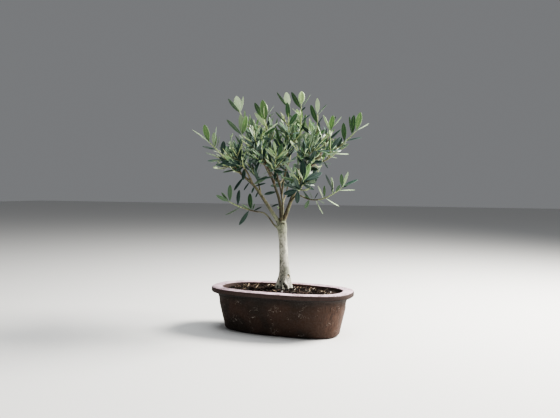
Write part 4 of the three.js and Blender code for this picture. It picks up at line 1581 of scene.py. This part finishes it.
@dataclass
class Wood:
    """The trunk and every bough, fused into one skin with the relief of the bark."""

    tree: Tree
    voxel: float = 0.67
    smoothing: int = 5
    pits: Sequence[Pit] = (
        Pit(15.2, 25.9, 3.1, 1.8, True),
        Pit(-11.4, 137.0, 1.6, 0.9), Pit(-7.7, 131.0, 1.5, 0.9), Pit(1.4, 135.1, 1.5, 1.0),
        Pit(4.9, 134.1, 2.1, 1.4), Pit(-1.5, 148.5, 1.5, 0.8), Pit(-3.8, 140.0, 2.0, 0.6),
        Pit(-4.4, 118.7, 2.4, 0.5), Pit(-4.0, 15.8, 1.8, 1.3), Pit(-12.0, 14.6, 1.9, 1.3),
        Pit(3.9, 12.3, 2.1, 1.1), Pit(7.9, 6.0, 4.4, 3.0), Pit(11.5, 2.6, 3.4, 2.4),
        Pit(14.2, 12.5, 1.1, 0.7), Pit(-9.6, 4.7, 2.2, 1.5), Pit(-1.5, 3.0, 2.6, 1.6),
        Pit(0.5, 47.0, 1.2, 0.5), Pit(-0.8, 60.5, 1.0, 0.4), Pit(0.6, 38.5, 1.3, 0.5), Pit(-1.8, 74.0, 1.1, 0.4),
        Pit(1.5, 29.0, 1.4, 0.6), Pit(-3.5, 52.0, 0.9, 0.4), Pit(-2.4, 90.0, 1.2, 0.4),
    )
    strays: int = 46
    stray_seed: int = 4077
    stray_top: float = 132.0
    stray_degrees: Floats = (-40, 220)
    stray_radii: Floats = (0.8, 1.9)
    stray_depths: Floats = (0.3, 0.9)
    trunk_rings: int = 90
    trunk_sides: int = 72
    limb_sides: int = 16
    ring_step: float = 2.5
    lobes: Points = ((0.050, 9, 1.3), (0.035, 14, -0.6))
    lobe_fade: float = 11.0
    lumps: float = 1.1
    lump_fade: float = 14.0
    ridges: float = 0.30
    grit: float = 0.12

    def build(self) -> None:
        """Makes the skin, its relief and its paint."""
        points, faces = self._skin()
        normals = vertex_normals(points, faces)
        boughness = self._boughness(points)
        points = points + normals * self._bark(points, boughness)[:, None]
        pit_and_hollow_shade, cut = np.zeros(len(points)), np.zeros(len(points))
        for mark, centre in self._marks(points):
            self._press(points, normals, mark, centre, pit_and_hollow_shade, cut)
        hollow = self._shade_in_hollows(points, vertex_normals(points, faces), faces)
        # Painted shade in the skin's hollows joins the dark paint of the knots and holes.
        pit_and_hollow_shade = np.clip(np.maximum(pit_and_hollow_shade, hollow), 0, 1)
        mesh = bpy.data.meshes.new("bark")
        mesh.from_pydata(tree_to_world(points), [], faces.tolist())
        mesh.polygons.foreach_set("use_smooth", [True] * len(faces))
        # Painted shade on the faces that turn left, away from the key lamp.
        band, lee = self._band(points), smoothstep(0.0, -0.9, normals[:, 0])
        for name, values in (("bough", boughness), ("pit_and_hollow_shade", pit_and_hollow_shade), ("cut", cut), ("band", band), ("lee", lee)):
            paint(mesh, name, values)
        mesh.update()
        nodes = ["trunk", *(limb.name for limb in LIMBS)]
        place_piece("trunk_and_boughs", mesh, [OliveBark().make()], nodes)

    def _skin(self) -> tuple[Array, Array]:
        """One even skin over the trunk and limbs.

        Returns:
            Its points in millimetres and its four-sided faces.
        """
        shell = Shell()
        shell.loft(self._flared(self.tree.trunk.rings(self.trunk_rings, self.trunk_sides)) * MM)
        for limb in self.tree.limbs.values():
            count = max(6, round(limb.length / self.ring_step))
            shell.loft(rings_along(limb.line, limb.radius, self.limb_sides, count) * MM)
        rough = stand("rough", shell.mesh("rough"))
        remesh = rough.modifiers.new("even", "REMESH")
        remesh.mode = "VOXEL"
        remesh.voxel_size = self.voxel * MM
        smooth = rough.modifiers.new("smooth", "SMOOTH")
        smooth.factor, smooth.iterations = 0.5, self.smoothing
        made = bpy.data.meshes.new_from_object(rough.evaluated_get(bpy.context.evaluated_depsgraph_get()))
        points = np.zeros(3 * len(made.vertices))
        made.vertices.foreach_get("co", points)
        faces = np.array([tuple(face.vertices) for face in made.polygons])
        bpy.data.objects.remove(rough)
        bpy.data.meshes.remove(made)
        return points.reshape(-1, 3) / MM, faces

    def _flared(self, rings: Array) -> Array:
        """The trunk's rings with the finer lobes of its root flare."""
        middle = rings.mean(1, keepdims=True)
        out = rings - middle
        angles = np.arctan2(out[..., 1], out[..., 0])
        fade = np.exp(-rings[..., 2] / self.lobe_fade)
        lobes = sum(height * np.cos(count * angles + turn) for height, count, turn in self.lobes)
        return middle + out * (1 + fade * lobes)[..., None]

    def _boughness(self, points: Array) -> Array:
        """0 on the trunk, 1 on the boughs and 2 on the middle one, which is darkened as painted shade, with soft
        changes where they part.
        """
        stations = np.array(self.tree.trunk.stations)
        lean = np.interp(points[:, 2], stations[:, 0], stations[:, 2])
        radius = np.interp(points[:, 2], stations[:, 0], stations[:, 1])
        off = np.hypot(points[:, 0] - lean, points[:, 1]) - radius
        height = points[:, 2]
        bough = np.maximum(smoothstep(1.0, 6.0, off), smoothstep(124, 150, height))
        on_left, on_middle = (
            smoothstep(8, 5, self._from_limb(points, name)) for name in ("left_bough", "middle_bough")
        )
        bough = lerp(bough, smoothstep(124, 190, height), on_left * (1 - on_middle))
        return bough + on_middle * smoothstep(134, 152, height)

    def _from_limb(self, points: Array, name: str) -> Array:
        """How far points are from a limb's middle line."""
        near = np.full(len(points), np.inf)
        for place in self.tree.limbs[name].line.evenly(50):
            near = np.minimum(near, ((points - place) ** 2).sum(1))
        return np.sqrt(near)

    @staticmethod
    def _band(points: Array) -> Array:
        """1 along the freckled band that runs up the trunk's front, fading out beside it."""
        side = points[:, 0] - np.interp(points[:, 2], (0, 30, 80, 130), (2.0, 0.0, -1.5, -3.0))
        front = smoothstep(2.0, -4.0, points[:, 1])
        return front * np.exp(-((side / 5.4) ** 2))

    def _bark(self, points: Array, boughness: Array) -> Array:
        """The height of the bark's relief: lumps at the foot, long shallow fissures and fine grain."""
        foot = np.exp(-points[:, 2] / self.lump_fade) * (1 - np.minimum(1, boughness))
        lumps = self.lumps * foot * grain(points, (0.16, 0.16, 0.13))
        long = self.ridges * grain(points, (0.20, 0.20, 0.05), 3.0) * (1 - 0.5 * np.minimum(1, boughness))
        fine = self.grit * grain(points, (0.7, 0.7, 0.45), 9.0)
        return lumps + long + fine

    def _marks(self, points: Array) -> list[tuple[Pit, Array]]:
        """Every knot and hole with its centre on the skin: those that show, and strays all round."""
        marks = []
        for mark in self.pits:
            near = np.hypot(points[:, 0] - mark.x, points[:, 2] - mark.z) < 1.4
            if near.any():
                front = points[near]
                marks.append((mark, front[front[:, 1].argmin()]))
        draw = Stream(self.stray_seed)
        for _ in range(self.strays):
            height = self.stray_top * draw() ** 1.3
            angle = math.radians(draw.between(*self.stray_degrees))
            mark = Pit(0, height, draw.between(*self.stray_radii), draw.between(*self.stray_depths))
            band = np.abs(points[:, 2] - height) < 1.0
            heading = np.array([math.cos(angle), math.sin(angle)])
            ring = points[band]
            marks.append((mark, ring[(ring[:, :2] @ heading).argmax()]))
        return marks

    @staticmethod
    def _press(points: Array, normals: Array, mark: Pit, centre: Array, pit_and_hollow_shade: Array, cut: Array) -> None:
        """Presses one knot or hole into the skin, with a raised rim, and paints it."""
        away = norm((points - centre) * (1.0, 1.0, 0.8), axis=1) / mark.radius
        near = away < mark.REACH
        away = away[near]
        dent = mark.depth * np.exp(-(away**2) * 1.2)
        rim = mark.RIM_HEIGHT * mark.depth * np.exp(-((away - mark.RIM_AT) ** 2) * 5)
        points[near] += normals[near] * (rim - dent)[:, None]
        dark = smoothstep(1.25, 0.45, away) if not mark.cut else smoothstep(0.25, 0.0, np.abs(away - 1.0) - 0.1)
        pit_and_hollow_shade[near] = np.maximum(pit_and_hollow_shade[near], min(1.0, mark.depth) * dark)
        if mark.cut:
            cut[near] = np.maximum(cut[near], smoothstep(0.9, 0.6, away))

    @staticmethod
    def _shade_in_hollows(points: Array, normals: Array, faces: Array) -> Array:
        """How deep each point lies between its neighbours, from 0 to 1, as the strength of painted shade in the
        hollows.
        """
        total, count = np.zeros((len(points), 3)), np.zeros(len(points))
        for step in range(4):
            np.add.at(total, faces[:, step], points[faces[:, (step + 1) % 4]])
            np.add.at(count, faces[:, step], 1)
        rise = ((total / count[:, None] - points) * normals).sum(1)
        return 0.55 * smoothstep(0.035, 0.14, rise)


def vertex_normals(points: Array, faces: Array) -> Array:
    """The unit normal at each point of a mesh of four-sided faces."""
    across = np.cross(points[faces[:, 2]] - points[faces[:, 0]], points[faces[:, 3]] - points[faces[:, 1]])
    normals = np.zeros_like(points)
    for corner in range(4):
        np.add.at(normals, faces[:, corner], across)
    return normals / np.maximum(1e-12, norm(normals, axis=1, keepdims=True))


# Pot and soil


@dataclass
class Pot:
    """The oval pot: a rolled lip, a cove under it, a wall that leans in and a rounded foot."""

    length: float = 300.0
    width: float = 160.0
    height: float = 90.0
    squareness: float = 2.65
    lip_width: float = 22.0
    lip_depth: float = 11.0
    lip_round: float = 3.4
    waist: float = 16.0
    cove_height: float = 24.0
    foot: float = 26.0
    foot_round: float = 10.0
    wall: float = 7.0
    floor: float = 10.0
    underside: Floats = (60.0, 48.0)
    waves: float = 0.45
    ripples: float = 0.10
    drawn_in: float = 0.35
    lip_waves: float = 0.16
    lip_drop: float = 0.12
    sides: int = 288

    def oval(self, inset: float, height: float, sides: int | None = None) -> Array:
        """One level line round the oval, standing in from the lip's edge by the inset, in millimetres."""
        angles = np.linspace(0, 2 * math.pi, sides or self.sides, endpoint=False)
        power = 2 / self.squareness
        x = (self.length / 2 - inset) * np.sign(np.cos(angles)) * np.abs(np.cos(angles)) ** power
        y = (self.width / 2 - inset) * np.sign(np.sin(angles)) * np.abs(np.sin(angles)) ** power
        return np.stack([x, y, np.full_like(x, height)], -1)

    def inner_inset(self, height: float) -> float:
        """How far the inside of the wall stands in from the lip's edge at a height."""
        return lerp(self.foot + self.wall, self.lip_width, (height - self.floor) / (self.height - self.floor))

    def profile(self) -> Path:
        """The inset and height along the section, from the underside over the lip to the floor inside."""
        low, edge, top = self.height - self.lip_depth, self.height - self.lip_round, self.height
        shoulder, inner = low - self.cove_height, self.lip_width - self.lip_round
        runs = (
            (7, (self.foot, 0), (self.foot, self.foot_round)),
            (16, (self.waist, shoulder)),
            (9, (self.waist, low), (self.lip_round, low)),
            (5, (0, low), (0, low + self.lip_round)),
            (3, (0, edge)),
            (6, (0, top), (self.lip_round, top)),
            (6, (inner, top)),
            (6, (self.lip_width, top), (self.inner_inset(edge), edge)),
            (14, (self.inner_inset(self.floor), self.floor)),
        )
        path = [(inset, 0.0) for inset in self.underside]
        start = (self.foot + self.foot_round, 0)
        for count, *bend, end in runs:
            path += bent(start, *bend, end, count) if bend else straight(start, end, count)
            start = end
        return path

    def build(self) -> None:
        """Makes the pot, slightly uneven as thrown and pressed clay is."""
        rings = np.array([self.oval(inset, height) for inset, height in self.profile()])
        flat = rings.reshape(-1, 3)
        out = flat * (1.0, 1.0, 0.0)
        out /= norm(out, axis=1, keepdims=True)
        waves, ripples = grain(flat, (0.016, 0.016, 0.03)), grain(flat, (0.10, 0.10, 0.16), 5.0)
        uneven = self.waves * waves + self.ripples * ripples
        clear = smoothstep(0.0, 3.0, flat[:, 2]) * smoothstep(0.0, 3.0, self._from_lip(flat))
        flat = flat - out * (self.drawn_in + uneven * clear)[:, None]
        high = smoothstep(60, 80, flat[:, 2])
        lift = self.lip_waves * grain(flat, (0.03, 0.03, 0.03), 2.0) * high
        flat[:, 2] = np.minimum(self.height, flat[:, 2] + lift - self.lip_drop * high)
        shell = Shell()
        shell.loft(flat.reshape(rings.shape) * MM)
        mesh = shell.mesh("oval_pot")
        inside = smoothstep(self.lip_width - 2.5, self.lip_width - 0.5, self._from_lip(flat))
        paint(mesh, "inside", np.concatenate([inside, [0.0, 1.0]]))
        place_piece("oval_pot", mesh, [Stoneware().make()], ["pot"])

    def _from_lip(self, points: Array) -> Array:
        """How far points are inside the lip's widest line."""
        x, y = points[:, 0] / (self.length / 2), points[:, 1] / (self.width / 2)
        reach = (np.abs(x) ** self.squareness + np.abs(y) ** self.squareness) ** (1 / self.squareness)
        return (1 - reach) * self.width / 2


def bent(start: Floats, bend: Floats, end: Floats, count: int) -> Path:
    """Points of a curve with one bend, without its end."""
    line = BentLine(*(np.array(point, float) for point in (start, bend, end)))
    return [tuple(line.at(k / count)) for k in range(count)]


def straight(start: Floats, end: Floats, count: int) -> Path:
    """Points of a straight line, without its end."""
    return [(lerp(start[0], end[0], k / count), lerp(start[1], end[1], k / count)) for k in range(count)]


@dataclass
class Soil:
    """The soil in the pot: a low crumbly mound, with chips of bark, crumbs and a few pale stones on it."""

    pot: Pot
    edge: float = 82.0
    patch: float = 24.0
    clearance: float = 0.45
    rays: int = 220
    rows: int = 46
    halves: Floats = (126, 57)
    from_wall: float = 4.0
    from_trunk: float = 14.0
    crumbling: float = 0.9
    grit: float = 0.55
    chips: int = 520
    chip_seed: int = 611
    chip_colours: Sequence[tuple[str, Colour]] = (
        ("chip_dark", (0.015, 0.0085, 0.006)), ("chip_red", (0.052, 0.029, 0.021)),
        ("chip_tan", (0.205, 0.152, 0.102)), ("chip_grey", (0.380, 0.330, 0.265)),
    )
    chip_sizes: Points = ((4.0, 16.0), (1.0, 2.5), (0.5, 1.2))
    near: Floats = (20, 70)
    near_kinds: Sequence[int] = (0, 0, 1, 1)
    far_kinds: Sequence[int] = (0, 0, 0, 0, 1, 1, 1, 2, 2, 3)
    crumbs: int = 1100
    crumb_seed: int = 907
    pale_share: float = 0.02
    brown_share: float = 0.35
    stone: Floats = (14.0, -31.5)
    stone_radius: float = 3.6

    def build(self) -> None:
        """Makes the bed and everything that lies on it."""
        self.middle = np.array([3.4 * math.cos(TREE_TURN), 3.4 * math.sin(TREE_TURN)])
        self._bed()
        self._chips()
        self._crumbs()

    def level(self, places: Array) -> Array:
        """The height of the smooth mound at places in the row frame, in millimetres."""
        halves = self._halves(self.clearance)
        reach = (np.abs(places / halves) ** self.pot.squareness).sum(1) ** (1 / self.pot.squareness)
        away = norm(places - self.middle, axis=1)
        to_patch = np.maximum(0, away - self.patch)
        to_wall = np.maximum(0, away * (1 - reach) / np.maximum(reach, 1e-3))
        share = to_wall / np.maximum(1e-6, to_wall + to_patch)
        return self.edge + (SOIL_CROWN - self.edge) * (0.35 * share + 0.65 * share**2)

    def _halves(self, margin: float) -> Array:
        """Half the length and half the width of the soil's top, less a margin."""
        inset = self.pot.inner_inset(self.edge) + margin
        return np.array([self.pot.length / 2 - inset, self.pot.width / 2 - inset])

    def rough(self, places: Array) -> Array:
        """The height with its crumbly relief."""
        flat = np.column_stack([places, np.zeros(len(places))])
        relief = self.crumbling * grain(flat, (0.11, 0.11, 0.11)) + self.grit * grain(flat, (0.42, 0.42, 0.42), 4.0)
        return self.level(places) + relief - 0.6

    def _bed(self) -> None:
        """The body of the soil, with its rough top."""
        inset = self.pot.inner_inset(self.edge) + self.clearance
        wall = self.pot.oval(inset, self.edge, self.rays)[:, :2]
        foot = self.pot.floor + GAP
        low = self.pot.oval(self.pot.inner_inset(foot) + self.clearance, foot, self.rays)
        shares = np.linspace(0, 0.985, self.rows)
        tops = wall[None] + (self.middle - wall)[None] * shares[:, None, None]
        heights = self.rough(tops.reshape(-1, 2)).reshape(tops.shape[:2])
        rings = np.concatenate([tops, heights[..., None]], -1)
        shell = Shell()
        shell.loft(np.concatenate([low[None], rings]) * MM)
        place_piece("soil_bed", shell.mesh("soil_bed"), [Earth().make()], ["soil"])

    def _scatter(self, count: int, draw: Stream) -> list[Array]:
        """Places on the soil, clear of the wall and of the trunk's foot."""
        places, halves = [], self._halves(self.from_wall)
        while len(places) < count:
            place = np.array([draw.between(-half, half) for half in self.halves])
            within = (np.abs(place / halves) ** self.pot.squareness).sum() < 1
            if within and norm(place - self.middle) > self.from_trunk:
                places.append(place)
        return places

    def _chips(self) -> None:
        """Slivers of bark in four browns."""
        draw, shell = Stream(self.chip_seed), Shell()
        places = self._scatter(self.chips, draw)
        for place, height in zip(places, self.rough(np.array(places))):
            long, wide, thick = (draw.between(*sizes) for sizes in self.chip_sizes)
            turn, tilt, roll = 2 * math.pi * draw(), draw.between(-0.5, 0.5), draw.between(-0.7, 0.7)
            kinds = self.near_kinds if norm(place - self.middle) < draw.between(*self.near) else self.far_kinds
            kind = kinds[int(len(kinds) * draw())]
            lift = 0.35 * long * abs(math.sin(tilt))
            shell.loft(self._chip(place, height + lift, (long, wide, thick), (turn, tilt, roll), draw), kind)
        made = [Plain(name, colour, 0.85, 0.3, 0.0, 1.4, 0.25).make() for name, colour in self.chip_colours]
        place_piece("bark_chips", shell.mesh("bark_chips"), made, crease=35)

    @staticmethod
    def _chip(place: Array, height: float, size: Floats, turns: Floats, draw: Stream) -> Array:
        """The rings of one chip: a bent sliver with ragged ends, in metres."""
        long, wide, thick = size
        about_z, about_y, about_x = (Matrix.Rotation(angle, 3, axis) for angle, axis in zip(turns, "ZYX"))
        turn = about_z @ about_y @ about_x
        rings = []
        for share in (-0.5, -0.2, 0.2, 0.5):
            narrow = 0.45 + 0.5 * draw() if abs(share) > 0.4 else 1.0
            bow = 0.05 * long * (0.25 - share * share)
            ring = [
                (share * long, side * 0.5 * wide * narrow * draw.varied(0.2), bow + level * 0.5 * thick * narrow)
                for side, level in ((-1, -1), (1, -1), (1, 1), (-1, 1))
            ]
            rings.append([turn @ Vector(point) for point in ring])
        return (np.array(rings) + (place[0], place[1], height + 0.3)) * MM

    def _crumbs(self) -> None:
        """Rounded lumps of soil, with a few pale stones among them."""
        finishes = (
            Plain("crumb", (0.0035, 0.0025, 0.002), 0.95, 0.25, 0.0, 1.0, 0.4),
            Plain("crumb_brown", (0.014, 0.0075, 0.005), 0.95, 0.25, 0.0, 1.0, 0.4),
            Plain("pale_stone", (0.700, 0.620, 0.600), 0.8, 0.3, 0.0, 1.0, 0.2),
        )
        draw, shell = Stream(self.crumb_seed), Shell()
        places = self._scatter(self.crumbs, draw)
        radii = [draw.between(0.8, 2.4) for _ in places]
        kinds = [2 if draw() < self.pale_share else int(draw() < self.brown_share) for _ in places]
        for place, radius, kind in [*zip(places, radii, kinds), (self.stone, self.stone_radius, 2)]:
            height = float(self.rough(np.array([place]))[0])
            shell.loft(self._lump(place, height + 0.3 * radius, radius, draw), kind)
        made = [finish.make() for finish in finishes]
        place_piece("soil_crumbs", shell.mesh("soil_crumbs"), made)

    @staticmethod
    def _lump(place: Array, height: float, radius: float, draw: Stream) -> Array:
        """The rings of one uneven lump, in metres."""
        angles = np.linspace(0, 2 * math.pi, 7, endpoint=False)
        rings = []
        for rise in (-0.85, -0.3, 0.35, 0.85):
            reach = radius * math.sqrt(1 - rise * rise) * np.array([draw.varied(0.25) for _ in angles])
            heights = np.full(7, 0.8 * radius * rise)
            rings.append(np.stack([reach * np.cos(angles), reach * np.sin(angles), heights], -1))
        return (np.array(rings) + (place[0], place[1], height)) * MM


# Studio


@dataclass(frozen=True)
class Lamp:
    """A soft lamp, by degrees to the right of the camera and up, and by distance and size in metres."""

    name: str
    turn: float
    lift: float
    distance: float
    size: float
    power: float
    colour: Colour


@dataclass
class Studio:
    """A pale floor, soft lamps and the camera at the photo's angle. The floor's half width is in metres."""

    view: View = field(default_factory=View)
    frame_width: float = 560.0
    sensor: float = 36.0
    half: float = 9.0
    lamps: Sequence[Lamp] = (
        Lamp("key", 98, 40, 1.5, 0.7, 96.0, (1.0, 0.97, 0.91)),
        Lamp("sky", 30, 82, 1.7, 1.5, 28.0, (0.95, 0.98, 1.0)),
        Lamp("fill", -38, 22, 1.9, 1.4, 3.0, (0.95, 0.98, 1.0)),
    )

    def build(self) -> None:
        """Sets up floor, lamps, surroundings and camera."""
        self._floor()
        self._lamps()
        self._surroundings()
        self._camera()

    def _floor(self) -> None:
        """A wide pale floor."""
        mesh = bpy.data.meshes.new("floor")
        corners = [(x * self.half, y * self.half, 0) for x, y in ((-1, -1), (1, -1), (1, 1), (-1, 1))]
        mesh.from_pydata(corners, [], [(0, 1, 2, 3)])
        floor = stand("floor", mesh)
        bench = Bench("pale_floor")
        bench.set(Base_Color=(0.74, 0.735, 0.72), Roughness=0.85, Specular_IOR_Level=0.2)
        mesh.materials.append(bench.material)
        floor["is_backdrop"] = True

    def _lamps(self) -> None:
        """The soft lamps, each facing the crown."""
        middle = np.array(self.view.aim) * MM
        for lamp in self.lamps:
            turn, lift = TREE_TURN + math.radians(lamp.turn), math.radians(lamp.lift)
            away = np.array([math.sin(turn) * math.cos(lift), -math.cos(turn) * math.cos(lift), math.sin(lift)])
            light = bpy.data.lights.new(lamp.name, "AREA")
            light.shape, light.size, light.energy, light.color = "DISK", lamp.size, lamp.power, lamp.colour
            shade = stand(lamp.name, light)
            shade.location = Vector(middle + away * lamp.distance)
            shade.rotation_euler = Vector(away).to_track_quat("Z", "Y").to_euler()

    def _surroundings(self) -> None:
        """An even pale light from all round."""
        world = bpy.data.worlds.new("studio")
        world.use_nodes = True
        background = world.node_tree.nodes["Background"]
        background.inputs["Color"].default_value = (0.90, 0.92, 0.95, 1.0)
        background.inputs["Strength"].default_value = 0.21
        bpy.context.scene.world = world
        bpy.context.scene.view_settings.look = "AgX - Medium High Contrast"

    def _camera(self) -> None:
        """The camera, level but for a slight pitch and roll."""
        axes = np.array(Matrix.Rotation(TREE_TURN, 3, "Z")) @ self.view.axes().T
        place = np.array(self.view.aim) * MM + axes[:, 2] * self.view.distance * MM
        camera_data = bpy.data.cameras.new("camera")
        camera_data.sensor_width = self.sensor
        camera_data.lens = self.view.focal / self.frame_width * self.sensor
        camera = stand("camera", camera_data)
        matrix = np.eye(4)
        matrix[:3, :3], matrix[:3, 3] = axes, place
        camera.matrix_world = Matrix(matrix.tolist())
        bpy.context.scene.camera = camera


def main() -> None:
    """Builds every piece in order, then measures the bounds of the solids and of the result."""
    logging.basicConfig(level=logging.INFO, format="%(message)s")
    tree = Tree(TrunkShape(), ShootRule(), LeafRule(), FineRule(), SprayRule())
    tree.grow()
    pot = Pot()
    pot.build()
    Soil(pot).build()
    Wood(tree).build()
    Foliage(tree).build()
    Studio().build()
    boxes = {"cad": CAD_BOX, "visual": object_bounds()}
    {name: [list(corner) for corner in box] for name, box in boxes.items()}


if __name__ == "__main__":
    main()
